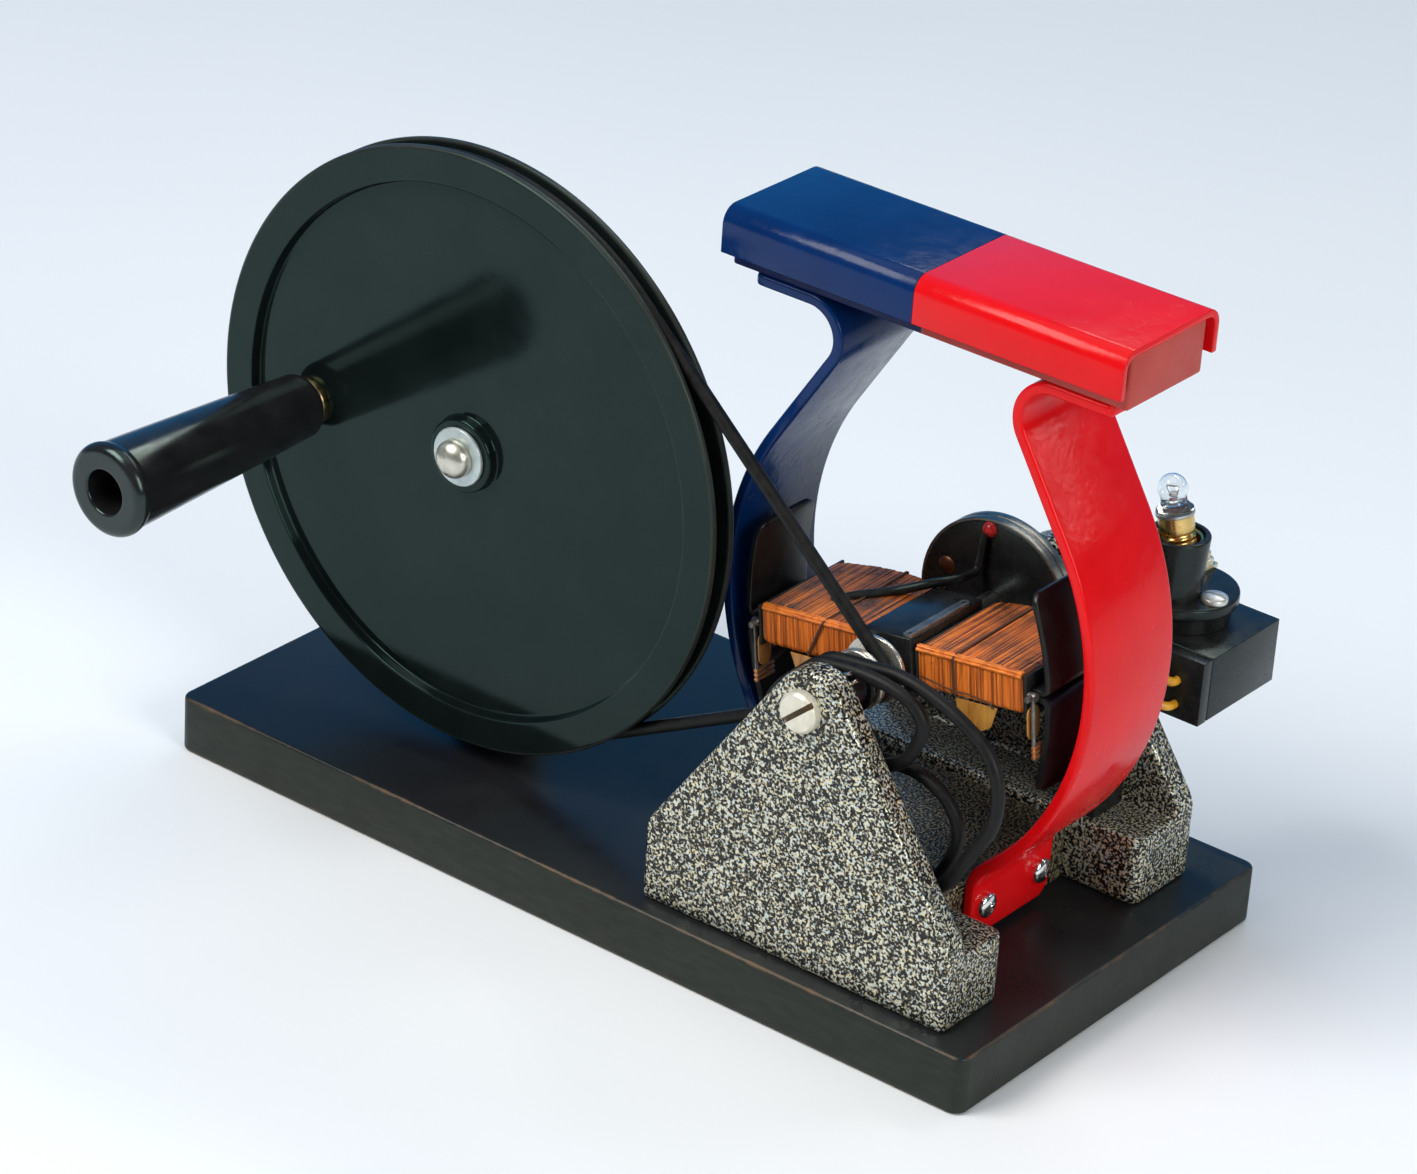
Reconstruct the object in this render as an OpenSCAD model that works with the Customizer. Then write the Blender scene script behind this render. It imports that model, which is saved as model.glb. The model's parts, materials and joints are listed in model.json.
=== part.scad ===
// Hand-cranked demonstration dynamo on a base board.
// Millimetres. +X runs along the board towards the lamp end, +Y to the back,
// +Z up. Origin: centre of the board's underside.

/* [Base board] */
// Length of the board along X
base_l = 250; // [200:1:320]
// Depth of the board along Y
base_w = 125.5; // [100:0.5:180]
// Thickness of the board
base_t = 15.5; // [8:0.5:25]
// Radius of the board's upright corners
base_r = 3.5; // [0:0.5:12]

/* [Frame castings] */
// X of the middle of the castings
ax = 69.2; // [50:0.1:90]
// X of the armature axis
rx = 67.7; // [48:0.1:92]
// Height of the armature axis
az = 84.4; // [75:0.1:95]
// Half length of a pedestal foot
ped_half = 45.3; // [38:0.1:55]
// Outer face of the front pedestal
ped_front = -57.2; // [-62:0.1:-50]
// Outer face of the rear pedestal
ped_rear = 46.2; // [40:0.1:55]
// Thickness of the upright webs
ped_web = 7.5; // [4:0.1:10]
// Depth of the feet
foot_d = 23.6; // [12:0.1:30]
// Top of the feet
foot_z = 34; // [22:0.5:40]
// Radius of the rounded top of a pedestal about the axis
ped_r = 10.2; // [8:0.1:13]
// Height of the shoulders of a pedestal
ped_sh = 37; // [30:0.5:45]

/* [Drive wheel] */
// X of the wheel axle
wx = -56.3; // [-70:0.1:-40]
// Height of the wheel axle
wz = 99.3; // [90:0.1:110]
// Outer radius of the wheel
wheel_r = 79.3; // [60:0.1:82]
// Width of the wheel rim
wheel_w = 8.7; // [6:0.1:14]
// Plane of the belt
belt_y = -32.2; // [-36:0.1:-28]
// Thickness of the round belt
belt_d = 3.4; // [2:0.1:4]
// Belt line radius on the wheel
belt_rw = 76.5; // [55:0.1:78]
// Belt line radius on the small pulley
belt_rp = 6; // [5:0.1:12]
// Crank radius
crank_r = 52.1; // [30:0.1:56]
// Crank angle at rest, from +X towards +Z
crank_a = 183.9; // [0:0.1:360]
// Free end of the grip
grip_end = -108.2; // [-130:0.1:-100]
// Depth of the recess in the front of the wheel
wheel_rec = 2.6; // [0.5:0.1:3]

/* [Magnet and pole strips] */
// Thickness of the pole strips
strip_t = 3; // [2:0.1:5]
// Front edge of the pole strips
strip_y0 = -21.2; // [-26:0.1:-15]
// Rear edge of the pole strips
strip_y1 = 12.2; // [5:0.1:18]
// Outer radius of the main curve
strip_ro = 72.7; // [60:0.1:80]
// Height of the centre of the main curve
strip_cz = 91.5; // [85:0.1:100]
// Distance of that centre across the axis
strip_cu = 18.4; // [10:0.1:22]
// Distance of the top bend's centre from the axis
top_cu = 34.8; // [32:0.1:40]
// Underside of the magnet
mag_z = 168.3; // [150:0.1:180]
// Left end of the magnet covers
mag_x0 = 10.8; // [0:0.1:20]
// Right end of the magnet covers
mag_x1 = 124.6; // [115:0.1:130]
// Where the blue and red halves meet
mag_mid = 66.5; // [50:0.1:80]

/* [Armature] */
// Tilt of the armature at rest, right end up
tilt = 7.5; // [-30:0.5:30]
// Half span of the armature poles
pole_u = 44.7; // [40:0.1:46]
// Height of the pole tips above the middle
pole_w = 25.5; // [15:0.1:27]
// Thickness of the iron straps
strap_t = 1.5; // [1:0.1:2]
// Front of the iron straps
core_y0 = -21.3; // [-23:0.1:-15]
// Rear of the iron straps
core_y1 = 1; // [-5:0.1:8]
// Front of the coils
coil_y0 = -23.4; // [-26:0.1:-22]
// Rear of the coils
coil_y1 = 10.2; // [3:0.1:12]
// Half height of the coils
coil_h = 5.2; // [4:0.1:9]
// Front face of the slip-ring disc
disc_y = 18.5; // [10:0.1:24]
// Radius of the slip ring
ring_r = 21.7; // [12:0.1:24]

/* [Lamp] */
// X of the lamp socket
lamp_x = 92.8; // [85:0.1:100]
// Y of the lamp socket
lamp_y = 60.2; // [56:0.1:66]
// Lean of the bulb in its socket
bulb_lean = 14; // [0:1:15]

/* [Hidden] */
$fn = 72;

frame_y = (ped_front + ped_rear)/2;
bed_half = 24;
bed_z = 32;
foot_f1 = ped_front + foot_d;
foot_r0 = ped_rear - foot_d;
web_f1 = ped_front + ped_web;
web_r0 = ped_rear - ped_web;
wheel_y0 = belt_y - wheel_w/2;
wheel_y1 = belt_y + wheel_w/2;
crank_x = wx + crank_r*cos(crank_a);
crank_z = wz + crank_r*sin(crank_a);
board_screws = [[ax - 34, -45.4, 28], [ax + 34, -45.4, 28], [ax - 34, 34.4, 28], [ax + 34, 34.4, 28],
  [ax - 11, frame_y, 28], [ax + 11, frame_y, 28], [wx, -2, 20.3], [wx, 9, 20.3]];
strip_screws = [[-16, 26], [6.6, 26]];

// small maths helpers
function unit(v) = v/norm(v);
function arc(c, r, a0, a1, n) = [for (i = [0:n]) let (a = a0 + (a1 - a0)*i/n) [c[0] + r*cos(a), c[1] + r*sin(a)]];
function turn(a) = a > 180 ? a - 360 : a < -180 ? a + 360 : a;
function corner(p0, p1, p2, r, n) =
  let (d0 = unit(p0 - p1), d2 = unit(p2 - p1), h = acos(d0*d2)/2,
       c = p1 + unit(d0 + d2)*r/sin(h), s = p1 + d0*r/tan(h), e = p1 + d2*r/tan(h),
       a0 = atan2(s[1] - c[1], s[0] - c[0]), a1 = atan2(e[1] - c[1], e[0] - c[0]))
  arc(c, r, a0, a0 + turn(a1 - a0), n);
function rpoly(p, r, n = 8) = [for (i = [0:len(p) - 1]) let (q = len(p))
  each (r[i] <= 0 ? [p[i]] : corner(p[(i + q - 1)%q], p[i], p[(i + 1)%q], r[i], n))];
function cat(p0, p1, p2, p3, t) = 0.5*(2*p1 + (p2 - p0)*t + (2*p0 - 5*p1 + 4*p2 - p3)*t*t + (3*p1 - p0 - 3*p2 + p3)*t*t*t);
function smooth(p, k) = let (m = len(p) - 1)
  [for (i = [0:m - 1]) for (j = [0:k - 1]) cat(p[max(i - 1, 0)], p[i], p[i + 1], p[min(i + 2, m)], j/k), p[m]];
function along(p, i) = unit(p[min(i + 1, len(p) - 1)] - p[max(i - 1, 0)]);

// shapes turned to lie along Y
module ext_y(y0, y1) { translate([0, y1, 0]) rotate([90, 0, 0]) linear_extrude(y1 - y0) children(); }
module cyl_y(r, y0, y1) { translate([0, y0, 0]) rotate([-90, 0, 0]) cylinder(r = r, h = y1 - y0); }
module rev_y(p) { rotate([-90, 0, 0]) rotate_extrude($fn = 120) polygon(p); }
module at_axis() { translate([rx, 0, az]) children(); }
module at_wheel() { translate([wx, 0, wz]) children(); }
module at_crank() { translate([crank_x, 0, crank_z]) children(); }
module rotor() { translate([rx, 0, az]) rotate([0, -tilt, 0]) children(); }

// an open tube through points, s sides; side vectors taken from a reference direction
module tube(p, r, s, ref = [0, 1, 0]) {
  m = len(p);
  v = [for (i = [0:m - 1]) let (t = along(p, i), n = unit(cross(t, ref)), b = cross(n, t))
    for (k = [0:s - 1]) p[i] + r*(cos(360*k/s)*n + sin(360*k/s)*b)];
  f = concat([[for (k = [0:s - 1]) s - 1 - k]],
    [for (i = [0:m - 2]) for (k = [0:s - 1]) [i*s + k, i*s + (k + 1)%s, (i + 1)*s + (k + 1)%s, (i + 1)*s + k]],
    [[for (k = [0:s - 1]) (m - 1)*s + k]]);
  polyhedron(points = v, faces = [for (q = f) [for (k = [len(q) - 1:-1:0]) q[k]]]);
}
// a closed tube in a plane of constant Y
module ring_tube(p, r, s) {
  m = len(p);
  v = [for (i = [0:m - 1]) let (t = unit(p[(i + 1)%m] - p[(i + m - 1)%m]), n = unit(cross(t, [0, 1, 0])))
    for (k = [0:s - 1]) p[i] + r*(cos(360*k/s)*n + sin(360*k/s)*[0, 1, 0])];
  polyhedron(points = v, faces = [for (i = [0:m - 1]) for (k = [0:s - 1])
    [((i + 1)%m)*s + k, ((i + 1)%m)*s + (k + 1)%s, i*s + (k + 1)%s, i*s + k]]);
}

// ---------------------------------------------------------------- base
module base_board() color([0.03, 0.03, 0.04]) difference() {
  linear_extrude(base_t) polygon(rpoly([[-base_l/2, -base_w/2], [base_l/2, -base_w/2], [base_l/2, base_w/2], [-base_l/2, base_w/2]],
    [base_r, base_r, base_r, base_r], 6));
  for (s = board_screws) translate([s[0], s[1], 0]) {
    translate([0, 0, -1]) cylinder(r = 2.1, h = base_t + 2);
    translate([0, 0, -0.01]) cylinder(r1 = 4.4, r2 = 2.1, h = 3);
  }
}

module base_screws() color([0.75, 0.75, 0.72]) for (s = board_screws) translate([s[0], s[1], 0]) difference() {
  union() {
    translate([0, 0, 0.4]) cylinder(r1 = 3.8, r2 = 2, h = 2.3);
    translate([0, 0, 2]) cylinder(r = 2, h = s[2] - 2);
  }
  translate([-5, -0.5, 0]) cube([10, 1, 1.2]);
}

// ---------------------------------------------------------------- frame castings
// upright outline: sloping sides that run tangent into the round top
ped_ta = atan2(ped_sh - az, ped_half) + acos(ped_r/norm([ped_half, ped_sh - az]));
module web_profile() translate([ax, az]) difference() {
  polygon(rpoly(concat([[-ped_half, base_t - az], [ped_half, base_t - az], [ped_half, ped_sh - az]],
    arc([0, 0], ped_r, ped_ta, 180 - ped_ta, 16), [[-ped_half, ped_sh - az]]), concat([0, 0, 7], [for (i = [0:16]) 0], [9]), 8));
  translate([rx - ax, 0]) circle(r = 3.45);
}

module foot_plan(flip) {
  s = flip ? -1 : 1;
  translate([ax, flip ? ped_rear : ped_front])
    polygon(rpoly([[-ped_half, 0], [ped_half, 0], [ped_half, s*foot_d], [-ped_half, s*foot_d]], [0, 0, 3.5, 3.5], 6));
}

module foot_holes(y) for (u = [-34, 34]) translate([ax + u, y, base_t - 1]) cylinder(r = 2.1, h = 14);

module front_pedestal() color([0.55, 0.55, 0.53]) difference() {
  union() {
    ext_y(ped_front, web_f1) web_profile();
    translate([0, 0, base_t]) linear_extrude(foot_z - base_t) foot_plan(false);
  }
  foot_holes(-45.4);
}

module rear_pedestal() color([0.55, 0.55, 0.53]) difference() {
  union() {
    ext_y(web_r0, ped_rear) web_profile();
    translate([0, 0, base_t]) linear_extrude(foot_z - base_t) foot_plan(true);
  }
  foot_holes(34.4);
  for (x = [77, 88]) translate([x, 0, 64.5]) cyl_y(1.8, web_r0 - 1, ped_rear + 1);
  translate([brush_px, 30, foot_z - 8]) cylinder(r = 1.6, h = 9);
}

module bed_block() color([0.5, 0.5, 0.48]) difference() {
  translate([ax - bed_half, foot_f1 + 0.05, base_t]) cube([2*bed_half, foot_r0 - foot_f1 - 0.1, bed_z - base_t]);
  for (s = strip_screws) for (d = [-1, 1]) translate([ax + d*bed_half, s[0], s[1]]) rotate([0, -d*90, 0])
    translate([0, 0, -1]) cylinder(r = 1.8, h = 9);
  for (u = [-11, 11]) translate([ax + u, frame_y, base_t - 1]) cylinder(r = 2.1, h = 14);
}

module slotted_head(r, h, w, d) difference() {
  rev_y([[0, 0], [r, 0], [r, -h + 0.8], [r - 0.8, -h], [0, -h]]);
  rotate([0, -42, 0]) translate([-r - 1, -h - 1, -w/2]) cube([2*r + 2, d + 1, w]);
}

module front_bearing_screw() color([0.85, 0.82, 0.74]) at_axis() union() {
  translate([0, ped_front, 0]) slotted_head(5.5, 3, 1.4, 1.3);
  cyl_y(3.4, ped_front - 0.5, web_f1 - 0.1);
}

module rear_bearing_screw() color([0.85, 0.82, 0.74]) at_axis() mirror([0, 1, 0]) union() {
  translate([0, -ped_rear, 0]) slotted_head(5.5, 3, 1.4, 1.3);
  cyl_y(3.4, -ped_rear - 0.5, -web_r0 - 0.1);
}

module front_bearing_bush() color([0.03, 0.03, 0.03]) at_axis()
  rev_y([[3.06, web_f1], [5.6, web_f1], [5.6, -40.2], [7.2, -40.2], [7.2, -38.8], [6.6, -38.2], [3.06, -38.2]]);

module rear_bearing_bush() color([0.03, 0.03, 0.03]) at_axis()
  rev_y([[3.06, 32.2], [6.4, 32.2], [7.2, 33], [7.2, web_r0], [3.06, web_r0]]);

module bush_split_pin() color([0.75, 0.75, 0.72]) at_axis() union() {
  translate([3.5, web_f1 + 0.5, 7.4]) rotate([0, 62, 0]) cylinder(r = 0.5, h = 4, $fn = 24);
  translate([6.1, web_f1 + 0.5, 5.5]) rotate([0, 48, 0]) cylinder(r = 0.5, h = 3.9, $fn = 24);
  translate([3.5, web_f1 + 0.5, 7.4]) rotate([0, 126, 0]) cylinder(r = 0.45, h = 3.2, $fn = 24);
}

// ---------------------------------------------------------------- drive wheel and crank
module wheel_post() color([0.05, 0.05, 0.05]) difference() {
  union() {
    ext_y(-20, -15) polygon(rpoly([[wx - 13, base_t], [wx + 13, base_t], [wx + 11, wz + 11], [wx - 11, wz + 11]], [0, 0, 9, 9], 8));
    translate([wx - 13, -20, base_t]) cube([26, 36, 5]);
  }
  at_wheel() cyl_y(3.05, -22, -13);
  for (y = [-2, 9]) translate([wx, y, base_t - 1]) cylinder(r = 2.1, h = 8);
}

module axle_stud() color([0.75, 0.75, 0.74]) at_wheel() cyl_y(3, -39.5, -9.5);

module axle_spacer() color([0.7, 0.7, 0.7]) at_wheel()
  rev_y([[3.05, wheel_y1 + 0.25], [6, wheel_y1 + 0.25], [6, -20], [3.05, -20]]);

module axle_washer() color([0.78, 0.78, 0.76]) at_wheel()
  rev_y([[3.05, -37.9], [7.5, -37.9], [7.7, -37.7], [7.7, -36.9], [3.05, -36.9]]);

module axle_cap_nut() color([0.8, 0.8, 0.78]) at_wheel() difference() {
  rev_y(concat([[0, -37.9], [5, -37.9], [5, -39.2]], [for (i = [1:10]) [5*cos(9*i), -39.2 - 3.4*sin(9*i)]]));
  cyl_y(3.05, -39.6, -37);
}

module axle_rear_nut() color([0.72, 0.72, 0.7]) at_wheel() difference() {
  translate([0, -14.95, 0]) rotate([-90, 0, 0]) cylinder(r = 6.2, h = 4.6, $fn = 6);
  cyl_y(3.05, -16, -9);
}

module drive_wheel() color([0.04, 0.04, 0.05]) difference() {
  at_wheel() rev_y([[3.1, -36.75], [9, -36.75], [9.7, -36.05], [9.7, wheel_y0 + wheel_rec], [69.6, wheel_y0 + wheel_rec], [70.1, wheel_y0],
    [78.6, wheel_y0], [wheel_r, wheel_y0 + 0.7], [wheel_r, belt_y - 2.6], [74.5, belt_y - 1.95], [74.5, belt_y + 1.95],
    [wheel_r, belt_y + 2.6], [wheel_r, wheel_y1 - 0.7], [78.6, wheel_y1], [70.3, wheel_y1], [69.6, wheel_y1 - 1.2],
    [10.5, wheel_y1 - 1.2], [10.5, wheel_y1], [3.1, wheel_y1]]);
  at_crank() cyl_y(3.02, wheel_y0 - 1, wheel_y1 + 1);
}

module crank_pin() color([0.75, 0.75, 0.74]) at_crank() difference() {
  union() {
    cyl_y(3, -87.2, wheel_y1 - 1.5);
    cyl_y(4.6, -90.2, -86.8);
  }
  translate([-6, -91.2, -0.6]) cube([12, 2.2, 1.2]);
}

module crank_collar() color([0.78, 0.6, 0.25]) at_crank()
  rev_y([[3.02, -36.4], [5.6, -36.4], [6.2, -35.8], [6.2, wheel_y0 + wheel_rec], [3.02, wheel_y0 + wheel_rec]]);

module handle_grip() color([0.03, 0.03, 0.03]) at_crank()
  rev_y(concat([[3.08, -86.6], [3.08, -36.6]], arc([5.5, -39.6], 3, 90, 0, 6), [[8.62, -44], [9.58, -62], [10.6, -82], [11.55, grip_end + 4.6],
    [12.1, grip_end + 3.9]], arc([9.6, grip_end + 2.6], 2.6, 0, -90, 8), arc([6.55, grip_end + 0.8], 0.8, 270, 180, 4),
    [[5.75, -86.6]]));

// ---------------------------------------------------------------- belts
belt_dx = rx - wx;
belt_dz = az - wz;
belt_dist = norm([belt_dx, belt_dz]);
belt_dir = atan2(belt_dz, belt_dx);
belt_open = acos((belt_rw - belt_rp)/belt_dist);
function belt_pt(c, r, a) = [c[0] + r*cos(a), belt_y, c[1] + r*sin(a)];
belt_path = concat(
  [for (i = [0:72]) belt_pt([wx, wz], belt_rw, belt_dir + belt_open + (360 - 2*belt_open)*i/72)],
  [for (i = [1:9]) let (p = belt_pt([wx, wz], belt_rw, belt_dir - belt_open), q = belt_pt([rx, az], belt_rp, belt_dir - belt_open)) p + (q - p)*i/10],
  [for (i = [0:14]) belt_pt([rx, az], belt_rp, belt_dir - belt_open + 2*belt_open*i/14)],
  [for (i = [1:9]) let (p = belt_pt([rx, az], belt_rp, belt_dir + belt_open), q = belt_pt([wx, wz], belt_rw, belt_dir + belt_open)) p + (q - p)*i/10]);

module drive_belt() color([0.05, 0.05, 0.05]) ring_tube(belt_path, belt_d/2, 10);

// the spare belt hangs over the front bush in three lobes
function smooth_loop(p, k) = let (m = len(p))
  [for (i = [0:m - 1]) for (j = [0:k - 1]) cat(p[(i + m - 1)%m], p[i], p[(i + 1)%m], p[(i + 2)%m], j/k)];
spare_route = [[61.2, -42.6, 88.3], [63.7, -42.6, 90.9], [67.6, -42.6, 92], [76.5, -42.6, 93.2], [84, -42.6, 93.9], [92.5, -42.6, 92.6],
  [101.5, -42.8, 89.6], [110, -43, 84.5], [114.5, -43.5, 76.5], [114.5, -44.2, 66.5], [109.5, -45, 57], [104.5, -45.5, 48.5],
  [96, -45.6, 40.5], [84, -45.6, 36.6], [68, -45.5, 36.4], [54, -45.3, 40], [48, -44.3, 49], [53, -42.6, 59], [63, -41.4, 65.5],
  [74, -41.1, 68.8], [84, -41, 70], [92, -41, 69.8], [99.5, -41, 66], [103.3, -41, 59], [101.5, -41, 51], [96, -41, 42.5],
  [86, -41, 37], [72, -41, 36.2], [57, -41.3, 36.8], [46, -42.2, 42.5], [43, -43.5, 53], [46.5, -45, 66], [51.8, -46.3, 79],
  [59.5, -46.5, 87.6], [63.5, -46.4, 91], [67.6, -46.4, 92.1], [76, -46.3, 92.9], [83.5, -46, 92.4], [90, -45.6, 90.2], [93.3, -45.3, 86],
  [92.3, -45, 80.5], [88, -45.1, 73.5], [79, -45.3, 69.8], [67, -45.2, 68.8], [59, -44.4, 71.3], [55.5, -43.2, 78], [58, -42.7, 84]];

module spare_belt() color([0.05, 0.05, 0.05]) ring_tube(smooth_loop(spare_route, 2), belt_d/2, 8);

// ---------------------------------------------------------------- magnet and pole strips
strip_ri = strip_ro - strip_t;
bend_o = 10.5;
bend_i = bend_o - strip_t;
top_cz = mag_z - bend_o;
// a straight run joins the main curve to the top bend
top_a = atan2(top_cz - strip_cz, top_cu + strip_cu) - acos((strip_ri + bend_o)/norm([top_cu + strip_cu, top_cz - strip_cz]));
low_r = 8;
low_cu = bed_half + strip_t + low_r;
low_cz = strip_cz - sqrt(pow(strip_ro + low_r, 2) - pow(low_cu + strip_cu, 2));
low_a = atan2(low_cz - strip_cz, low_cu + strip_cu);

module strip_profile() polygon(concat(
  [[bed_half, 17.5], [bed_half + strip_t, 17.5]],
  arc([low_cu, low_cz], low_r, 180, 180 + low_a, 8),
  arc([-strip_cu, strip_cz], strip_ro, low_a, top_a, 40),
  arc([top_cu, top_cz], bend_i, 180 + top_a, 90, 14),
  [[51, mag_z - strip_t], [51, mag_z]],
  arc([top_cu, top_cz], bend_o, 90, 180 + top_a, 16),
  arc([-strip_cu, strip_cz], strip_ri, top_a, low_a, 40),
  arc([low_cu, low_cz], low_r + strip_t, 180 + low_a, 180, 8)));

module strip_solid() difference() {
  ext_y(strip_y0, strip_y1) strip_profile();
  for (s = strip_screws) translate([bed_half - 1, s[0], s[1]]) rotate([0, 90, 0]) cylinder(r = 1.8, h = strip_t + 2);
}

module north_pole_strip() color([0.78, 0.05, 0.07]) translate([ax, 0, 0]) strip_solid();
module south_pole_strip() color([0.03, 0.09, 0.3]) translate([ax, 0, 0]) mirror([1, 0, 0]) strip_solid();

module pole_strip_screws() color([0.78, 0.77, 0.74]) for (s = strip_screws) for (d = [-1, 1])
  translate([ax + d*(bed_half + strip_t), s[0], s[1]]) rotate([0, d*90, 0]) difference() {
    union() {
      rotate_extrude() polygon(concat([[0, 0], [3.3, 0], [3.3, 1]], [for (i = [1:6]) [3.3*cos(15*i), 1 + 1.3*sin(15*i)]]));
      translate([0, 0, -10]) cylinder(r = 1.7, h = 10.5);
    }
    for (a = [20, 110]) rotate([0, 0, a]) translate([-1.8, -0.35, 1.2]) cube([3.6, 0.7, 2]);
  }

module magnet_bar() color([0.5, 0.04, 0.06]) translate([mag_x0 + 0.6, -20.8, mag_z]) cube([mag_x1 - mag_x0 - 1.2, 30, 182.15 - mag_z]);

module cover_profile() polygon(concat(
  [[-25.2, 172.4]], [for (p = arc([-20.7, 179.5], 4.5, 180, 90, 6)) p], [for (p = arc([9.3, 179.5], 4.5, 90, 0, 6)) p],
  [[13.8, 172.4], [12, 172.4]], [for (p = arc([9.3, 179.5], 2.7, 0, 90, 6)) p], [for (p = arc([-20.7, 179.5], 2.7, 90, 180, 6)) p],
  [[-23.4, 172.4]]));
module cover(x0, x1) translate([x0, 0, 0]) rotate([90, 0, 90]) linear_extrude(x1 - x0) cover_profile();
module magnet_cover_south() color([0.03, 0.09, 0.3]) cover(mag_x0, mag_mid);
module magnet_cover_north() color([0.78, 0.05, 0.07]) cover(mag_mid + 0.02, mag_x1);

// ---------------------------------------------------------------- armature
module rotor_shaft() color([0.72, 0.72, 0.72]) rotor() cyl_y(3, web_f1 + 0.6, web_r0 - 0.6);

module drive_pulley() color([0.82, 0.82, 0.8]) rotor()
  rev_y([[3.02, -36.9], [7, -36.9], [7.5, -36.4], [7.5, -34.9], [4.2, belt_y - 1.95], [4.2, belt_y + 1.95], [8.5, -29.6],
    [8.5, -28.6], [8.1, -28.2], [3.02, -28.2]]);

// the core is two straps back to back, bent out at the ends into curved pole faces and clasping the shaft between them
strap_ri = strap_t/2 + 0.45;
strap_ro = strap_ri + strap_t;
strap_cu = pole_u - strap_ro;
strap_cw = 0.05 + strap_ro;
pole_r = 80;
pole_cu = pole_u - sqrt(pow(pole_r, 2) - pow(strap_cw, 2));
pole_a0 = asin(strap_cw/pole_r);
pole_a1 = asin(pole_w/pole_r);
module strap_half() polygon(concat([[0, 0.05]], arc([strap_cu, strap_cw], strap_ro, -90, 0, 8), arc([pole_cu, 0], pole_r, pole_a0 + 0.2, pole_a1, 16),
  arc([pole_cu, 0], pole_r - strap_t, pole_a1, pole_a0 + 0.2, 16), arc([strap_cu, strap_cw], strap_ri, 0, -90, 8), [[0, 0.05 + strap_t]]));
module strap_profile() difference() {
  union() {
    strap_half();
    mirror([1, 0]) strap_half();
    intersection() { circle(r = 4.6); translate([-5, 0.05]) square([10, 5]); }
  }
  circle(r = 3.02);
}
module strap() intersection() {
  ext_y(core_y0, core_y1) strap_profile();
  translate([-60, 0, 0]) rotate([90, 0, 90]) linear_extrude(120)
    polygon(rpoly([[core_y0, -5], [core_y1, -5], [core_y1, pole_w], [core_y0, pole_w]], [0, 0, 4, 4], 6));
}
module core_strap_upper() color([0.06, 0.06, 0.07]) rotor() strap();
module core_strap_lower() color([0.06, 0.06, 0.07]) rotor() rotate([0, 180, 0]) strap();
module strap_room(d) union() { circle(r = 4.65 + d); square([100, 2*strap_t + 0.2 + 2*d], center = true); }

module rotor_hub() color([0.03, 0.03, 0.03]) rotor() difference() {
  ext_y(-24.5, 4.5) intersection() { circle(r = 10.4); square([14.2, 15], center = true); }
  ext_y(core_y0 - 0.1, core_y1 + 0.1) strap_room(0.05);
  cyl_y(3.02, -30, 10);
}

module hub_clip() color([0.55, 0.55, 0.55]) rotor() translate([0, 0, 7.5]) linear_extrude(0.9) difference() {
  polygon(rpoly([[4.4, -24.5], [6.9, -24.5], [6.9, 0.5], [4.4, 0.5]], [1.2, 1.2, 1.2, 1.2], 6));
  for (y = [-22.9, -0.9]) translate([5.65, y]) circle(r = 0.6, $fn = 24);
}

module coil() difference() {
  translate([8.2, 0, 0]) rotate([90, 0, 90]) linear_extrude(30.2)
    polygon(rpoly([[coil_y0, -coil_h], [coil_y1, -coil_h], [coil_y1, coil_h], [coil_y0, coil_h]], [2, 2, 2, 2], 6));
  ext_y(core_y0 - 0.15, core_y1 + 0.15) square([100, 2*strap_t + 0.4], center = true);
}
module coil_right() color([0.72, 0.33, 0.08]) rotor() coil();
module coil_left() color([0.72, 0.33, 0.08]) rotor() mirror([1, 0, 0]) coil();

module coil_cheeks() color([0.04, 0.04, 0.04]) rotor() for (d = [0, 1]) mirror([d, 0, 0]) for (u = [7.3, 38.6]) difference() {
  translate([u, coil_y0 - 0.1, -coil_h - 0.1]) cube([0.8, coil_y1 - coil_y0 + 0.2, 2*coil_h + 0.2]);
  ext_y(core_y0 - 0.1, core_y1 + 0.1) square([100, 2*strap_t + 0.3], center = true);
}

module insulation_paper() color([0.78, 0.45, 0.1]) rotor() for (d = [0, 1]) mirror([d, 0, 0]) {
  ext_y(-22.8, -22.4) polygon(rpoly([[18.5, -coil_h - 0.05], [19.5, -10.6], [24.5, -12.8], [28.5, -10.8], [30.5, -coil_h - 0.05]], [0, 2, 2, 2, 0], 4));
  translate([39.5, 0, 0]) rotate([90, 0, 90]) linear_extrude(0.4)
    polygon(rpoly([[-23.6, -11.2], [-18.8, -11.2], [-18.8, -2.6], [-23.6, -2.6]], [2.2, 2.2, 2.2, 2.2], 6));
}

module coil_tags() color([0.7, 0.68, 0.6]) rotor() for (d = [0, 1]) mirror([d, 0, 0]) union() {
  translate([39.5, -22.4, 0.2]) rotate([0, 90, 0]) cylinder(r = 1.1, h = 2.2, $fn = 24);
  translate([40.6, -22.4, 0.2]) rotate([90, 0, 0]) cylinder(r = 0.8, h = 2.6, $fn = 24);
  translate([41, -22.9, -15.4]) cylinder(r = 0.5, h = 15.4, $fn = 24);
  for (w = [-12.6, -13.8, -15]) translate([41, -23.4, w]) rotate([-90, 0, 0]) cylinder(r = 0.55, h = 7, $fn = 24);
}

disc_t = 5.4;
rivet_at = [-13.6, 6.8];
module slip_ring_disc() color([0.03, 0.03, 0.03]) rotor() difference() {
  rev_y([[3.02, disc_y], [ring_r - 0.72, disc_y], [ring_r - 0.72, disc_y + disc_t], [7, disc_y + disc_t], [7, disc_y + 9], [3.02, disc_y + 9]]);
  translate([rivet_at[0], disc_y - 1, rivet_at[1]]) rotate([-90, 0, 0]) cylinder(r = 2.5, h = 3, $fn = 32);
}

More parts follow.
